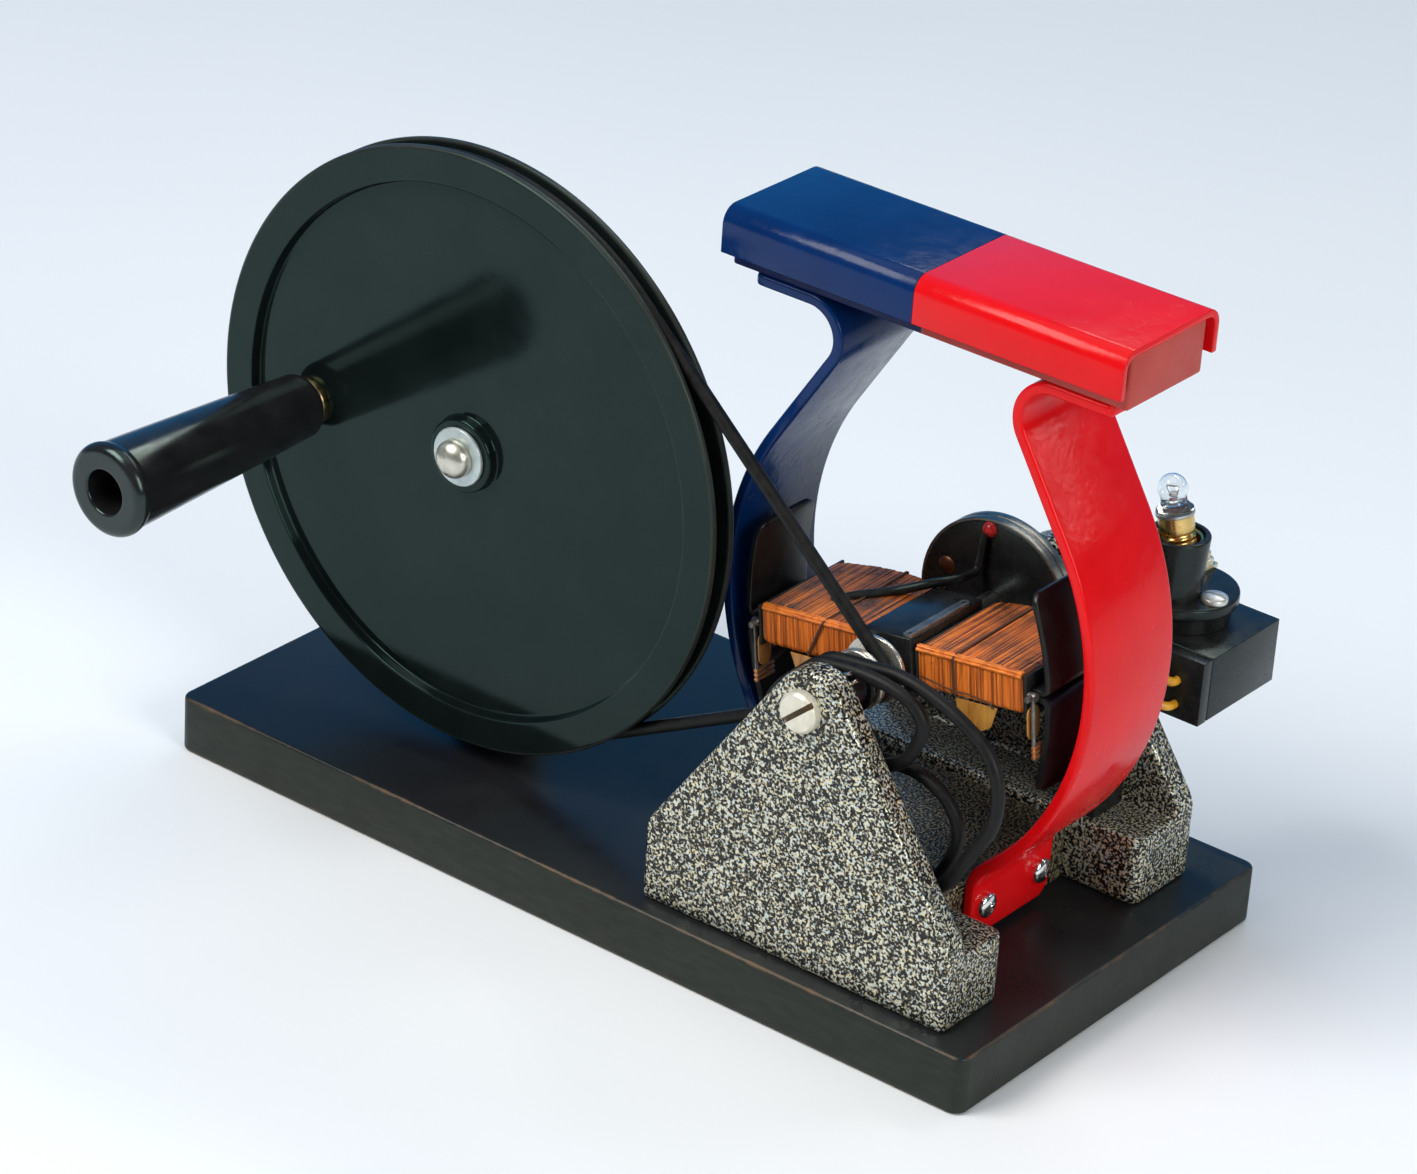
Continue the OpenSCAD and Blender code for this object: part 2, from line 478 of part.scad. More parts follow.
module slip_ring() color([0.66, 0.64, 0.6]) rotor()
  rev_y([[ring_r - 0.7, disc_y + 0.2], [ring_r, disc_y + 0.2], [ring_r, disc_y + 2.3], [ring_r - 0.3, disc_y + 2.5], [ring_r - 0.3, disc_y + 2.9],
    [ring_r, disc_y + 3.1], [ring_r, disc_y + disc_t - 0.2], [ring_r - 0.7, disc_y + disc_t - 0.2]]);

module ring_rivet() color([0.6, 0.33, 0.18]) rotor() translate([rivet_at[0], 0, rivet_at[1]])
  rev_y([[0, disc_y - 0.4], [1.9, disc_y - 0.4], [2.45, disc_y], [2.45, disc_y + 1.9], [0, disc_y + 1.9]]);

module ring_joint() color([0.75, 0.07, 0.06]) rotor() translate([-0.2, disc_y - 0.02, 19.1])
  rev_y(concat([[0, 0], [2, 0]], [for (i = [1:8]) [2*cos(11.25*i), -1.7*sin(11.25*i)]]));

lead_route = [[-22.5, -9, 6.4], [-14.5, -1.5, 6.8], [-7.4, 2.9, 8.7], [-3.9, 9, 8.5], [-3.1, 13.5, 8.3], [-2.6, 16, 9.2], [-1.4, 17, 16]];
module rotor_lead() color([0.04, 0.04, 0.04]) rotor() tube(smooth(lead_route, 3), 1, 8, [1, 0, 0]);

// ---------------------------------------------------------------- brush gear
brush_x = rx + ring_r + 0.25;
brush_px = brush_x + 5.15;
module brush_post() color([0.04, 0.04, 0.04]) difference() {
  translate([brush_x + 0.65, 24.3, foot_z]) cube([9, 12.1, 46]);
  translate([brush_px, 30, foot_z - 1]) cylinder(r = 1.6, h = 50);
  for (z = [58, 66]) translate([brush_x - 1, 27, z]) rotate([0, 90, 0]) cylinder(r = 1.1, h = 6);
}
module brush_spring() color([0.75, 0.55, 0.25]) difference() {
  union() {
    translate([brush_x, disc_y + 0.6, 54]) cube([0.6, 11, 16]);
    translate([brush_x, disc_y + 0.6, 54]) cube([0.6, 4.2, 40]);
  }
  for (z = [58, 66]) translate([brush_x - 1, 27, z]) rotate([0, 90, 0]) cylinder(r = 1.1, h = 6);
}
module brush_screws() color([0.78, 0.6, 0.25]) {
  for (z = [58, 66]) translate([brush_x, 27, z]) rotate([0, -90, 0]) union() {
    difference() {
      cylinder(r = 2, h = 1.2);
      translate([-3, -0.3, 0.6]) cube([6, 0.6, 1]);
    }
    translate([0, 0, -4.6]) cylinder(r = 1.05, h = 5);
  }
  translate([brush_px, 30, foot_z - 7]) difference() {
    union() {
      cylinder(r = 1.55, h = 53.5);
      translate([0, 0, 53]) cylinder(r = 2.9, h = 2);
    }
    translate([-4, -0.4, 54]) cube([8, 0.8, 2]);
  }
}

// ---------------------------------------------------------------- lamp
module lamp_block_plate() color([0.04, 0.04, 0.04]) difference() {
  translate([72.5, ped_rear, 56.3]) cube([40, 3.6, 17.3]);
  for (x = [77, 88]) translate([x, 0, 64.5]) cyl_y(1.8, ped_rear - 1, ped_rear + 5);
  for (p = [[105.2, 66.5], [105.2, 60]]) translate([p[0], 0, p[1]]) cyl_y(1.3, ped_rear - 1, ped_rear + 2);
}
module lamp_block() color([0.04, 0.04, 0.04]) difference() {
  translate([72.5, ped_rear + 4, 56.3]) cube([40, 29.8, 17.3]);
  for (x = [77, 88]) translate([x, 0, 64.5]) cyl_y(1.8, ped_rear - 1, ped_rear + 16);
}
module lamp_block_screws() color([0.75, 0.75, 0.72]) for (x = [77, 88]) translate([x, 0, 64.5]) difference() {
  union() {
    cyl_y(3.2, web_r0 - 2, web_r0);
    cyl_y(1.75, web_r0 - 0.5, ped_rear + 15);
  }
  translate([-4, web_r0 - 3, -0.4]) cube([8, 1.9, 0.8]);
}
module lamp_holder() color([0.04, 0.04, 0.04]) difference() {
  union() {
    translate([92.9, 65.1, 73.6]) rotate_extrude() polygon([[0, 0], [12.4, 0], [12.4, 4.7], [13.6, 4.7], [14, 5.1], [14, 7.3], [13.6, 7.7], [0, 7.7]]);
    translate([lamp_x, lamp_y, 81]) cylinder(r1 = 6.9, r2 = 8, h = 16.6);
  }
  translate([lamp_x, lamp_y, 84]) cylinder(r = 6.4, h = 20);
  translate([103, 63.4, 76]) cylinder(r = 1.8, h = 8);
  translate([91, 77.2, 76]) cylinder(r = 1.2, h = 8);
}
module lamp_shell() color([0.8, 0.62, 0.25]) translate([lamp_x, lamp_y, 84]) difference() {
  rotate_extrude() polygon([[0, 0], [6.35, 0], [6.35, 12.6], [5.9, 12.9], [5.75, 12.6], [5.75, 0.8], [0, 0.8]]);
  translate([0, 0, -1]) cylinder(r = 1, h = 4, $fn = 24);
}
module lamp_terminal_screw() color([0.82, 0.82, 0.8]) translate([103, 63.4, 81.3]) difference() {
  union() {
    rotate_extrude() polygon(concat([[0, 0], [3.4, 0], [3.4, 0.9]], [for (i = [1:6]) [3.4*cos(15*i), 0.9 + 1.1*sin(15*i)]]));
    translate([0, 0, -5]) cylinder(r = 1.75, h = 5.5);
  }
  rotate([0, 0, 12]) translate([-5, -0.45, 1.1]) cube([10, 0.9, 2]);
}
module lamp_terminal_tab() color([0.78, 0.62, 0.28]) {
  translate([0, 0, 81.3]) linear_extrude(0.8) difference() {
    polygon(rpoly([[88.2, 71.6], [93.1, 71.6], [93.4, 80], [88.6, 80]], [0.8, 0.8, 0.8, 0.8], 4));
    translate([91, 77.2]) circle(r = 1.2);
  }
  translate([91, 77.2, 77]) difference() {
    union() {
      cylinder(r = 1.15, h = 8.6);
      translate([0, 0, 5.1]) cylinder(r = 2, h = 1.7);
    }
    translate([-3, -0.25, 8]) cube([6, 0.5, 2]);
  }
}
module bulb_at() translate([lamp_x, lamp_y, 95]) rotate([0, -bulb_lean, 0]) children();
module bulb_cap() color([0.8, 0.62, 0.25]) bulb_at()
  rotate_extrude() polygon([[0, -5.6], [1.6, -5.6], [1.9, -4.6], [4.1, -3.6], [4.6, -2.6], [4.6, 7], [4.9, 7.2], [4.9, 8], [4.1, 8], [4.1, -2.4], [0, -2.4]]);
module bulb_glass() color([0.85, 0.92, 0.96, 0.4]) bulb_at()
  rotate_extrude() polygon(concat([[0, 6.2], [4, 6.2], [4, 8.05], [4.9, 8.1], [4.9, 9.1], [4.2, 9.8]],
    arc([0, 14], 4.15, -25, 90, 16), arc([0, 14], 3.75, 90, -25, 16), [[3.6, 10.4], [3.4, 9.6], [1.6, 9.6], [1.2, 11.4], [0, 11.4]]));
module bulb_filament() color([0.45, 0.45, 0.45]) bulb_at() union() {
  for (d = [-1, 1]) translate([d*0.9, 0, 11.6]) rotate([0, d*14, 0]) cylinder(r = 0.18, h = 3.3, $fn = 16);
  translate([-1.75, 0, 14.5]) rotate([0, 90, 0]) cylinder(r = 0.16, h = 3.5, $fn = 16);
}
leads = [[[brush_px, 36.9, 70], [brush_px, 38.4, 70], [98.8, 40, 69.7], [102.5, 41.8, 68.4], [105, 44.2, 66.8], [105.2, 47.4, 66.5]],
  [[brush_px + 3.3, 36.9, 63.5], [brush_px + 3.3, 38.4, 63.5], [100.4, 39.9, 62.6], [102.8, 41.7, 61], [105, 44.2, 60], [105.2, 47.4, 60]]];
module lamp_leads() color([0.85, 0.5, 0.08]) for (q = leads) tube(smooth(q, 3), 1.15, 8, [0, 0, 1]);

base_board();
base_screws();
front_pedestal();
rear_pedestal();
bed_block();
front_bearing_screw();
rear_bearing_screw();
front_bearing_bush();
rear_bearing_bush();
bush_split_pin();
wheel_post();
axle_stud();
axle_spacer();
axle_washer();
axle_cap_nut();
axle_rear_nut();
drive_wheel();
crank_pin();
crank_collar();
handle_grip();
drive_belt();
spare_belt();
south_pole_strip();
north_pole_strip();
pole_strip_screws();
magnet_bar();
magnet_cover_south();
magnet_cover_north();
rotor_shaft();
drive_pulley();
core_strap_upper();
core_strap_lower();
rotor_hub();
hub_clip();
coil_left();
coil_right();
coil_cheeks();
insulation_paper();
coil_tags();
slip_ring_disc();
slip_ring();
ring_rivet();
ring_joint();
rotor_lead();
brush_post();
brush_spring();
brush_screws();
lamp_block();
lamp_block_plate();
lamp_block_screws();
lamp_holder();
lamp_shell();
lamp_terminal_screw();
lamp_terminal_tab();
bulb_cap();
bulb_glass();
bulb_filament();
lamp_leads();
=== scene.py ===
import json
import math
import random

import bmesh
import bpy
from mathutils import Matrix, Vector


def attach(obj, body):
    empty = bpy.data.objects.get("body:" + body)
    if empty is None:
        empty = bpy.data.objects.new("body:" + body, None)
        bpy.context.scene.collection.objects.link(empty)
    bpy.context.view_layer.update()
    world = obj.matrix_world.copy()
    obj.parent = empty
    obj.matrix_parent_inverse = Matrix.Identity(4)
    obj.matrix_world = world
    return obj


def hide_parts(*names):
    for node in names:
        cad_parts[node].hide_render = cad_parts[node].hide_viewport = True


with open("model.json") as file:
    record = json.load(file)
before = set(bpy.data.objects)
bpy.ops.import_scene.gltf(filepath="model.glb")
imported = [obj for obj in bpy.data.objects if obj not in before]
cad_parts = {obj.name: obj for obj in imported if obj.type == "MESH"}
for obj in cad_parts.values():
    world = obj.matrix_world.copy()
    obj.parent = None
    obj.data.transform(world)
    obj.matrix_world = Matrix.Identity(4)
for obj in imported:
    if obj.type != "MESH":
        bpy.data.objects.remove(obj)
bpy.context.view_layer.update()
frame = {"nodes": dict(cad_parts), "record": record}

nodes = frame["nodes"]
MM = 0.001
rng = random.Random(11)
scene = bpy.context.scene

# ------------------------------------------------------------------ sizes, in millimetres, as in the CAD source
AX = 69.2                      # middle of the castings
RX, AZ = 67.7, 84.4            # armature axis
WX, WZ = -56.3, 99.3           # wheel axle
BELT_Y, BELT_D = -32.2, 3.4
BELT_RW, BELT_RP = 76.5, 6.0
WHEEL_R, WY0, WY1 = 79.27, -32.2 - 4.35, -32.2 + 4.35
CX = WX + 52.1 * math.cos(math.radians(183.9))
CZ = WZ + 52.1 * math.sin(math.radians(183.9))
BASE_L, BASE_W, BASE_T, BASE_R = 250.0, 125.5, 15.5, 3.5
PED_HALF, PED_F, PED_R, WEB, FOOT_D, FOOT_Z = 45.3, -57.2, 46.2, 7.5, 23.6, 34.0
STRIP_Y0, STRIP_Y1, STRIP_T = -21.2, 12.2, 3.0
STRIP_RO, STRIP_CZ, STRIP_CU, MAG_Z = 72.7, 91.5, 18.4, 168.3
BED_HALF, BED_Z = 24.0, 32.0
MAG_X0, MAG_XM, MAG_X1 = 10.8, 66.5, 124.6
TILT = 7.5
COIL_H = 5.2
DISC_Y, DISC_T, RING_R = 18.5, 5.4, 21.7
LAMP_X, LAMP_Y, LEAN = 92.8, 60.2, 14.0

ROTOR = Matrix.Translation((RX, 0, AZ)) @ Matrix.Rotation(math.radians(-TILT), 4, "Y")
ROTOR_INV = ROTOR.inverted()
BULB = Matrix.Translation((LAMP_X, LAMP_Y, 95)) @ Matrix.Rotation(math.radians(-LEAN), 4, "Y")

# ------------------------------------------------------------------ camera
CAM_AZ, CAM_EL, CAM_ROLL, CAM_F = 0.6395, 0.4798, 0.069, 5130.35
d = Vector((math.sin(CAM_AZ) * math.cos(CAM_EL), -math.cos(CAM_AZ) * math.cos(CAM_EL), math.sin(CAM_EL)))
fw = -d
right = fw.cross(Vector((0, 0, 1))).normalized()
up = right.cross(fw)
cam_r = math.cos(CAM_ROLL) * right + math.sin(CAM_ROLL) * up
cam_u = -math.sin(CAM_ROLL) * right + math.cos(CAM_ROLL) * up
K = 250.0 / 260.0
cam_pos = (-fw * 1351.9 + cam_r * -0.4 + cam_u * 50.33) * K + Vector((0, 0, 15.5))
cam_data = bpy.data.cameras.new("camera")
cam_data.sensor_fit = "HORIZONTAL"
cam_data.sensor_width = 36.0
cam_data.lens = CAM_F / 1417.0 * 36.0
cam_data.clip_start = 0.05
cam_data.clip_end = 50.0
cam = bpy.data.objects.new("camera", cam_data)
scene.collection.objects.link(cam)
rot = Matrix((cam_r, cam_u, d)).transposed().to_4x4()
cam.matrix_world = Matrix.Translation(cam_pos * MM) @ rot
scene.camera = cam


# ------------------------------------------------------------------ small geometry helpers
def arc(c, r, a0, a1, n):
    return [(c[0] + r * math.cos(math.radians(a0 + (a1 - a0) * i / n)), c[1] + r * math.sin(math.radians(a0 + (a1 - a0) * i / n))) for i in range(n + 1)]


def rounded(pts, radii, n=5):
    """A closed outline with its corners rounded."""
    out, q = [], len(pts)
    for i in range(q):
        r = radii[i] if isinstance(radii, (list, tuple)) else radii
        p1 = Vector(pts[i])
        if r <= 0:
            out.append(tuple(p1))
            continue
        p0, p2 = Vector(pts[i - 1]), Vector(pts[(i + 1) % q])
        d0, d2 = (p0 - p1).normalized(), (p2 - p1).normalized()
        h = math.acos(max(-1, min(1, d0.dot(d2)))) / 2
        if h > math.radians(89):
            out.append(tuple(p1))
            continue
        c = p1 + (d0 + d2).normalized() * r / math.sin(h)
        s, e = p1 + d0 * r / math.tan(h), p1 + d2 * r / math.tan(h)
        a0 = math.degrees(math.atan2(s.y - c.y, s.x - c.x))
        a1 = math.degrees(math.atan2(e.y - c.y, e.x - c.x))
        t = (a1 - a0 + 540) % 360 - 180
        out += arc(c, r, a0, a0 + t, n)
    return out


def held(prof, gap=0.4):
    """Adds points just inside the ends of every long flat of an outline, so that its shading stays flat."""
    out = []
    for i, a in enumerate(prof):
        a, b = Vector(a), Vector(prof[(i + 1) % len(prof)])
        out.append(tuple(a))
        n = (b - a).length
        if n > 3.5 * gap:
            out += [tuple(a.lerp(b, gap / n)), tuple(a.lerp(b, 1 - gap / n))]
    return out


def smooth_path(p, k):
    p = [Vector(q) for q in p]
    m, out = len(p) - 1, []
    for i in range(m):
        p0, p1, p2, p3 = p[max(i - 1, 0)], p[i], p[i + 1], p[min(i + 2, m)]
        for j in range(k):
            t = j / k
            out.append(0.5 * (2 * p1 + (p2 - p0) * t + (2 * p0 - 5 * p1 + 4 * p2 - p3) * t * t + (3 * p1 - p0 - 3 * p2 + p3) * t ** 3))
    out.append(p[m])
    return out


def smooth_loop(p, k):
    """The same through a closed run of points."""
    p = [Vector(q) for q in p]
    m, out = len(p), []
    for i in range(m):
        p0, p1, p2, p3 = p[i - 1], p[i], p[(i + 1) % m], p[(i + 2) % m]
        for j in range(k):
            t = j / k
            out.append(0.5 * (2 * p1 + (p2 - p0) * t + (2 * p0 - 5 * p1 + 4 * p2 - p3) * t * t + (3 * p1 - p0 - 3 * p2 + p3) * t ** 3))
    return out


def finish_mesh(name, bm, mats, smooth=38, matrix=None):
    bmesh.ops.recalc_face_normals(bm, faces=bm.faces)
    if matrix is not None:
        bmesh.ops.transform(bm, matrix=matrix, verts=bm.verts)
    bmesh.ops.scale(bm, vec=(MM, MM, MM), verts=bm.verts)
    me = bpy.data.meshes.new(name)
    bm.to_mesh(me)
    bm.free()
    for p in me.polygons:
        p.use_smooth = True
    me.set_sharp_from_angle(angle=math.radians(smooth))
    obj = bpy.data.objects.new(name, me)
    scene.collection.objects.link(obj)
    for m in mats if isinstance(mats, (list, tuple)) else [mats]:
        me.materials.append(m)
    return obj


def lathe_into(bm, prof, seg=96, centre=(0, 0), axis="Y", matrix=None, closed=True, a0=0.0):
    """Revolves an outline of (radius, along) points about an axis and adds it to bm."""
    rings = []
    for r, h in prof:
        if r < 1e-6:
            co = Vector((0, h, 0)) if axis == "Y" else Vector((0, 0, h))
            rings.append([bm.verts.new(co)])
        else:
            ring = []
            for k in range(seg):
                a = a0 + 2 * math.pi * k / seg
                co = Vector((r * math.cos(a), h, r * math.sin(a))) if axis == "Y" else Vector((r * math.cos(a), r * math.sin(a), h))
                ring.append(bm.verts.new(co))
            rings.append(ring)
    made = [v for ring in rings for v in ring]
    pairs = list(zip(rings, rings[1:])) + ([(rings[-1], rings[0])] if closed else [])
    for p, q in pairs:
        if len(p) == 1 and len(q) == 1:
            continue
        for k in range(seg):
            j = (k + 1) % seg
            if len(p) == 1:
                bm.faces.new((p[0], q[k], q[j]))
            elif len(q) == 1:
                bm.faces.new((p[k], q[0], p[j]))
            else:
                bm.faces.new((p[k], q[k], q[j], p[j]))
    shift = Vector((centre[0], 0, centre[1])) if axis == "Y" else Vector((centre[0], centre[1], 0))
    for v in made:
        v.co += shift
    if matrix is not None:
        bmesh.ops.transform(bm, matrix=matrix, verts=made)
    return made


def prism_into(bm, pts, plane, a0, a1, bevel=0.5, seg=3, angle=30, matrix=None):
    """A prism with its sharp edges rounded. plane xz runs along y, xy along z, yz along x."""
    tmp = bmesh.new()
    put = {"xz": lambda p, a: (p[0], a, p[1]), "xy": lambda p, a: (p[0], p[1], a), "yz": lambda p, a: (a, p[0], p[1])}[plane]
    lo = [tmp.verts.new(put(p, a0)) for p in pts]
    hi = [tmp.verts.new(put(p, a1)) for p in pts]
    tmp.faces.new(lo)
    tmp.faces.new(list(reversed(hi)))
    for i in range(len(pts)):
        j = (i + 1) % len(pts)
        tmp.faces.new((lo[i], hi[i], hi[j], lo[j]))
    bmesh.ops.recalc_face_normals(tmp, faces=tmp.faces)
    if bevel > 0:
        sharp = [e for e in tmp.edges if len(e.link_faces) == 2 and e.calc_face_angle(0) > math.radians(angle)]
        bmesh.ops.bevel(tmp, geom=sharp, offset=bevel, segments=seg, profile=0.5, affect="EDGES", clamp_overlap=True)
    if matrix is not None:
        bmesh.ops.transform(tmp, matrix=matrix, verts=tmp.verts)
    join(bm, tmp)


def join(bm, other, mat_index=None):
    me = bpy.data.meshes.new("join")
    other.to_mesh(me)
    other.free()
    before = len(bm.faces)
    bm.from_mesh(me)
    bpy.data.meshes.remove(me)
    if mat_index is not None:
        bm.faces.ensure_lookup_table()
        for f in bm.faces[before:]:
            f.material_index = mat_index


def box_into(bm, lo, hi, bevel=0.4, seg=3, matrix=None):
    prism_into(bm, [(lo[0], lo[1]), (hi[0], lo[1]), (hi[0], hi[1]), (lo[0], hi[1])], "xy", lo[2], hi[2], bevel, seg, matrix=matrix)


def tube_into(bm, path, r, sides=12, closed=False, ref=(0, 1, 0), matrix=None, twist=None):
    path = [Vector(p) for p in path]
    m, rings, prev = len(path), [], None
    radius = r if callable(r) else (lambda t: r)
    for i in range(m):
        if closed:
            t = (path[(i + 1) % m] - path[i - 1]).normalized()
        else:
            t = (path[min(i + 1, m - 1)] - path[max(i - 1, 0)]).normalized()
        if prev is None:
            n = t.cross(Vector(ref))
            if n.length < 1e-4:
                n = t.cross(Vector((0.3, 0.2, 1)))
            n.normalize()
        else:
            n = (prev - t * prev.dot(t)).normalized()
        if closed:
            n = t.cross(Vector(ref)).normalized()
        prev = n
        b = n.cross(t)
        rr = radius(i / max(1, m - 1))
        rings.append([bm.verts.new(path[i] + rr * (math.cos(2 * math.pi * k / sides) * n + math.sin(2 * math.pi * k / sides) * b)) for k in range(sides)])
    for i in range(m if closed else m - 1):
        p, q = rings[i], rings[(i + 1) % m]
        for k in range(sides):
            j = (k + 1) % sides
            bm.faces.new((p[k], p[j], q[j], q[k]))
    if not closed:
        bm.faces.new(list(reversed(rings[0])))
        bm.faces.new(rings[-1])
    made = [v for ring in rings for v in ring]
    if matrix is not None:
        bmesh.ops.transform(bm, matrix=matrix, verts=made)


def refined(node, mats, bevel=0.25, seg=2, angle=40, smooth=38, name=None):
    """A CAD node's solid again, joined up, with its sharp edges rounded."""
    bm = bmesh.new()
    bm.from_mesh(nodes[node].data)
    bmesh.ops.scale(bm, vec=(1 / MM, 1 / MM, 1 / MM), verts=bm.verts)
    bmesh.ops.remove_doubles(bm, verts=bm.verts, dist=0.004)
    bmesh.ops.recalc_face_normals(bm, faces=bm.faces)
    bmesh.ops.dissolve_limit(bm, angle_limit=math.radians(0.6), verts=bm.verts, edges=bm.edges)
    if bevel > 0:
        sharp = [e for e in bm.edges if len(e.link_faces) == 2 and e.calc_face_angle(0) > math.radians(angle)]
        bmesh.ops.bevel(bm, geom=sharp, offset=bevel, segments=seg, profile=0.5, affect="EDGES", clamp_overlap=True)
    for f in bm.faces:
        f.material_index = 0
    return finish_mesh(name or node + "_piece", bm, mats, smooth)


body_of = {n: b for b, ns in frame["record"]["behaviour"]["bodies"].items() for n in ns}


def place(obj, *replaced):
    """The piece stands for those nodes and moves with their body."""
    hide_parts(*replaced)
    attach(obj, body_of[replaced[0]])
    return obj


# ------------------------------------------------------------------ materials
class Mat:
    def __init__(self, name, colour=(0.5, 0.5, 0.5), metal=0.0, rough=0.5, **sockets):
        self.m = bpy.data.materials.new(name)
        self.m.use_nodes = True
        self.nt = self.m.node_tree
        self.b = self.nt.nodes["Principled BSDF"]
        self.b.inputs["Base Color"].default_value = (*colour, 1)
        self.b.inputs["Metallic"].default_value = metal
        self.b.inputs["Roughness"].default_value = rough
        for k, v in sockets.items():
            self.b.inputs[k.replace("_", " ")].default_value = v
        self.pos = self.node("ShaderNodeTexCoord").outputs["Object"]

    def node(self, kind, ins=None, **props):
        n = self.nt.nodes.new(kind)
        for k, v in props.items():
            setattr(n, k, v)
        for k, v in (ins or {}).items():
            self.put(n.inputs[k], v)
        return n

    def put(self, socket, v):
        if isinstance(v, bpy.types.NodeSocket):
            self.nt.links.new(v, socket)
        else:
            socket.default_value = v

    def set(self, socket, v):
        self.put(self.b.inputs[socket], v)

    def math(self, op, a, b=0.0, c=0.0, clamp=False):
        n = self.node("ShaderNodeMath", operation=op, use_clamp=clamp)
        self.put(n.inputs[0], a)
        self.put(n.inputs[1], b)
        self.put(n.inputs[2], c)
        return n.outputs[0]

    def xyz(self, vec=None):
        n = self.node("ShaderNodeSeparateXYZ", {"Vector": vec or self.pos})
        return n.outputs[0], n.outputs[1], n.outputs[2]

    def combine(self, x, y, z):
        return self.node("ShaderNodeCombineXYZ", {"X": x, "Y": y, "Z": z}).outputs[0]

    def scaled(self, sx, sy, sz, vec=None):
        return self.node("ShaderNodeMapping", {"Vector": vec or self.pos, "Scale": (sx, sy, sz)}).outputs[0]

    def noise(self, scale, detail=2.0, rough=0.5, distort=0.0, vec=None):
        return self.node("ShaderNodeTexNoise", {"Vector": vec or self.pos, "Scale": scale, "Detail": detail, "Roughness": rough, "Distortion": distort}).outputs[0]

    def voronoi(self, scale, feature="F1", vec=None, out="Distance", randomness=1.0):
        n = self.node("ShaderNodeTexVoronoi", {"Vector": vec or self.pos, "Scale": scale, "Randomness": randomness}, feature=feature)
        return n.outputs[out]

    def ramp(self, fac, stops, interp="LINEAR"):
        n = self.node("ShaderNodeValToRGB", {"Fac": fac})
        n.color_ramp.interpolation = interp
        els = n.color_ramp.elements
        while len(els) > 1:
            els.remove(els[-1])
        for i, (p, c) in enumerate(stops):
            e = els[0] if i == 0 else els.new(p)
            e.position = p
            e.color = (*c, 1) if isinstance(c, (tuple, list)) else (c, c, c, 1)
        return n.outputs[0]

    def span(self, v, a0, a1, b0, b1, clamp=True):
        n = self.node("ShaderNodeMapRange", {"Value": v, "From Min": a0, "From Max": a1, "To Min": b0, "To Max": b1})
        n.clamp = clamp
        return n.outputs[0]

    def mix(self, fac, a, b, blend="MIX"):
        n = self.node("ShaderNodeMix", data_type="RGBA", blend_type=blend)
        self.put(n.inputs[0], fac)
        self.put(n.inputs[6], (*a, 1) if isinstance(a, (tuple, list)) else a)
        self.put(n.inputs[7], (*b, 1) if isinstance(b, (tuple, list)) else b)
        return n.outputs[2]

    def bump(self, height, strength=0.3, dist=0.0005, under=None):
        n = self.node("ShaderNodeBump", {"Height": height, "Strength": strength, "Distance": dist})
        if under is not None:
            self.put(n.inputs["Normal"], under)
        return n.outputs[0]


def mat_board():
    m = Mat("board_lacquer", rough=0.34, Specular_IOR_Level=0.32)
    # Reflections tinted blue-green: painted reflection colour standing in for the blue surroundings.
    m.set("Specular Tint", (0.72, 1.0, 0.98, 1))
    x, y, z = m.xyz()
    ax_ = m.math("SUBTRACT", BASE_L / 2 * MM, m.math("ABSOLUTE", x))
    ay_ = m.math("SUBTRACT", BASE_W / 2 * MM, m.math("ABSOLUTE", y))
    az_ = m.math("MINIMUM", m.math("SUBTRACT", BASE_T * MM, z), z)
    wear = m.noise(260, 4, 0.65)
    wide = m.span(m.noise(35, 3, 0.6), 0.3, 0.75, 0.0006, 0.0014)
    fx, fy, fz = (m.math("SUBTRACT", 1.0, m.math("DIVIDE", v, wide), clamp=True) for v in (ax_, ay_, az_))
    edge = m.math("MAXIMUM", m.math("MULTIPLY", fx, fy), m.math("MAXIMUM", m.math("MULTIPLY", fx, fz), m.math("MULTIPLY", fy, fz)))
    rub = m.span(m.math("ADD", edge, m.math("MULTIPLY", m.math("SUBTRACT", wear, 0.5), 0.9)), 0.2, 0.68, 0.0, 0.9)
    rub = m.math("MULTIPLY", rub, m.span(edge, 0.02, 0.12, 0.0, 1.0))
    rub = m.math("MULTIPLY", rub, m.span(m.noise(48, 3, 0.6), 0.4, 0.58, 0.4, 1.0))
    top = m.span(m.math("SUBTRACT", BASE_T * MM, z), 0.0004, 0.001, 1.0, 0.0)
    grain = m.noise(1.0, 5, 0.6, vec=m.scaled(180, 900, 900))
    flat_c = m.mix(m.span(m.noise(22, 4), 0.35, 0.7, 0, 1), (0.0085, 0.0085, 0.0105), (0.016, 0.0155, 0.017))
    side_c = m.mix(m.span(grain, 0.3, 0.75, 0, 1), (0.0115, 0.0110, 0.0080), (0.0250, 0.0232, 0.0155))
    col = m.mix(top, side_c, flat_c)
    col = m.mix(rub, col, (0.15, 0.082, 0.042))
    m.set("Base Color", col)
    scratch = m.noise(1.0, 6, 0.7, vec=m.scaled(60, 900, 300))
    m.set("Roughness", m.math("ADD", m.math("ADD", m.span(m.noise(90, 5, 0.7), 0.3, 0.75, 0.25, 0.4), m.math("MULTIPLY", rub, 0.2)), m.span(top, 0, 1, 0.16, 0.0)))
    h = m.math("ADD", m.math("MULTIPLY", m.noise(1500, 3, 0.6), 0.7), m.math("MULTIPLY", scratch, 0.5))
    m.set("Normal", m.bump(h, 0.16, 0.0002))
    return m.m


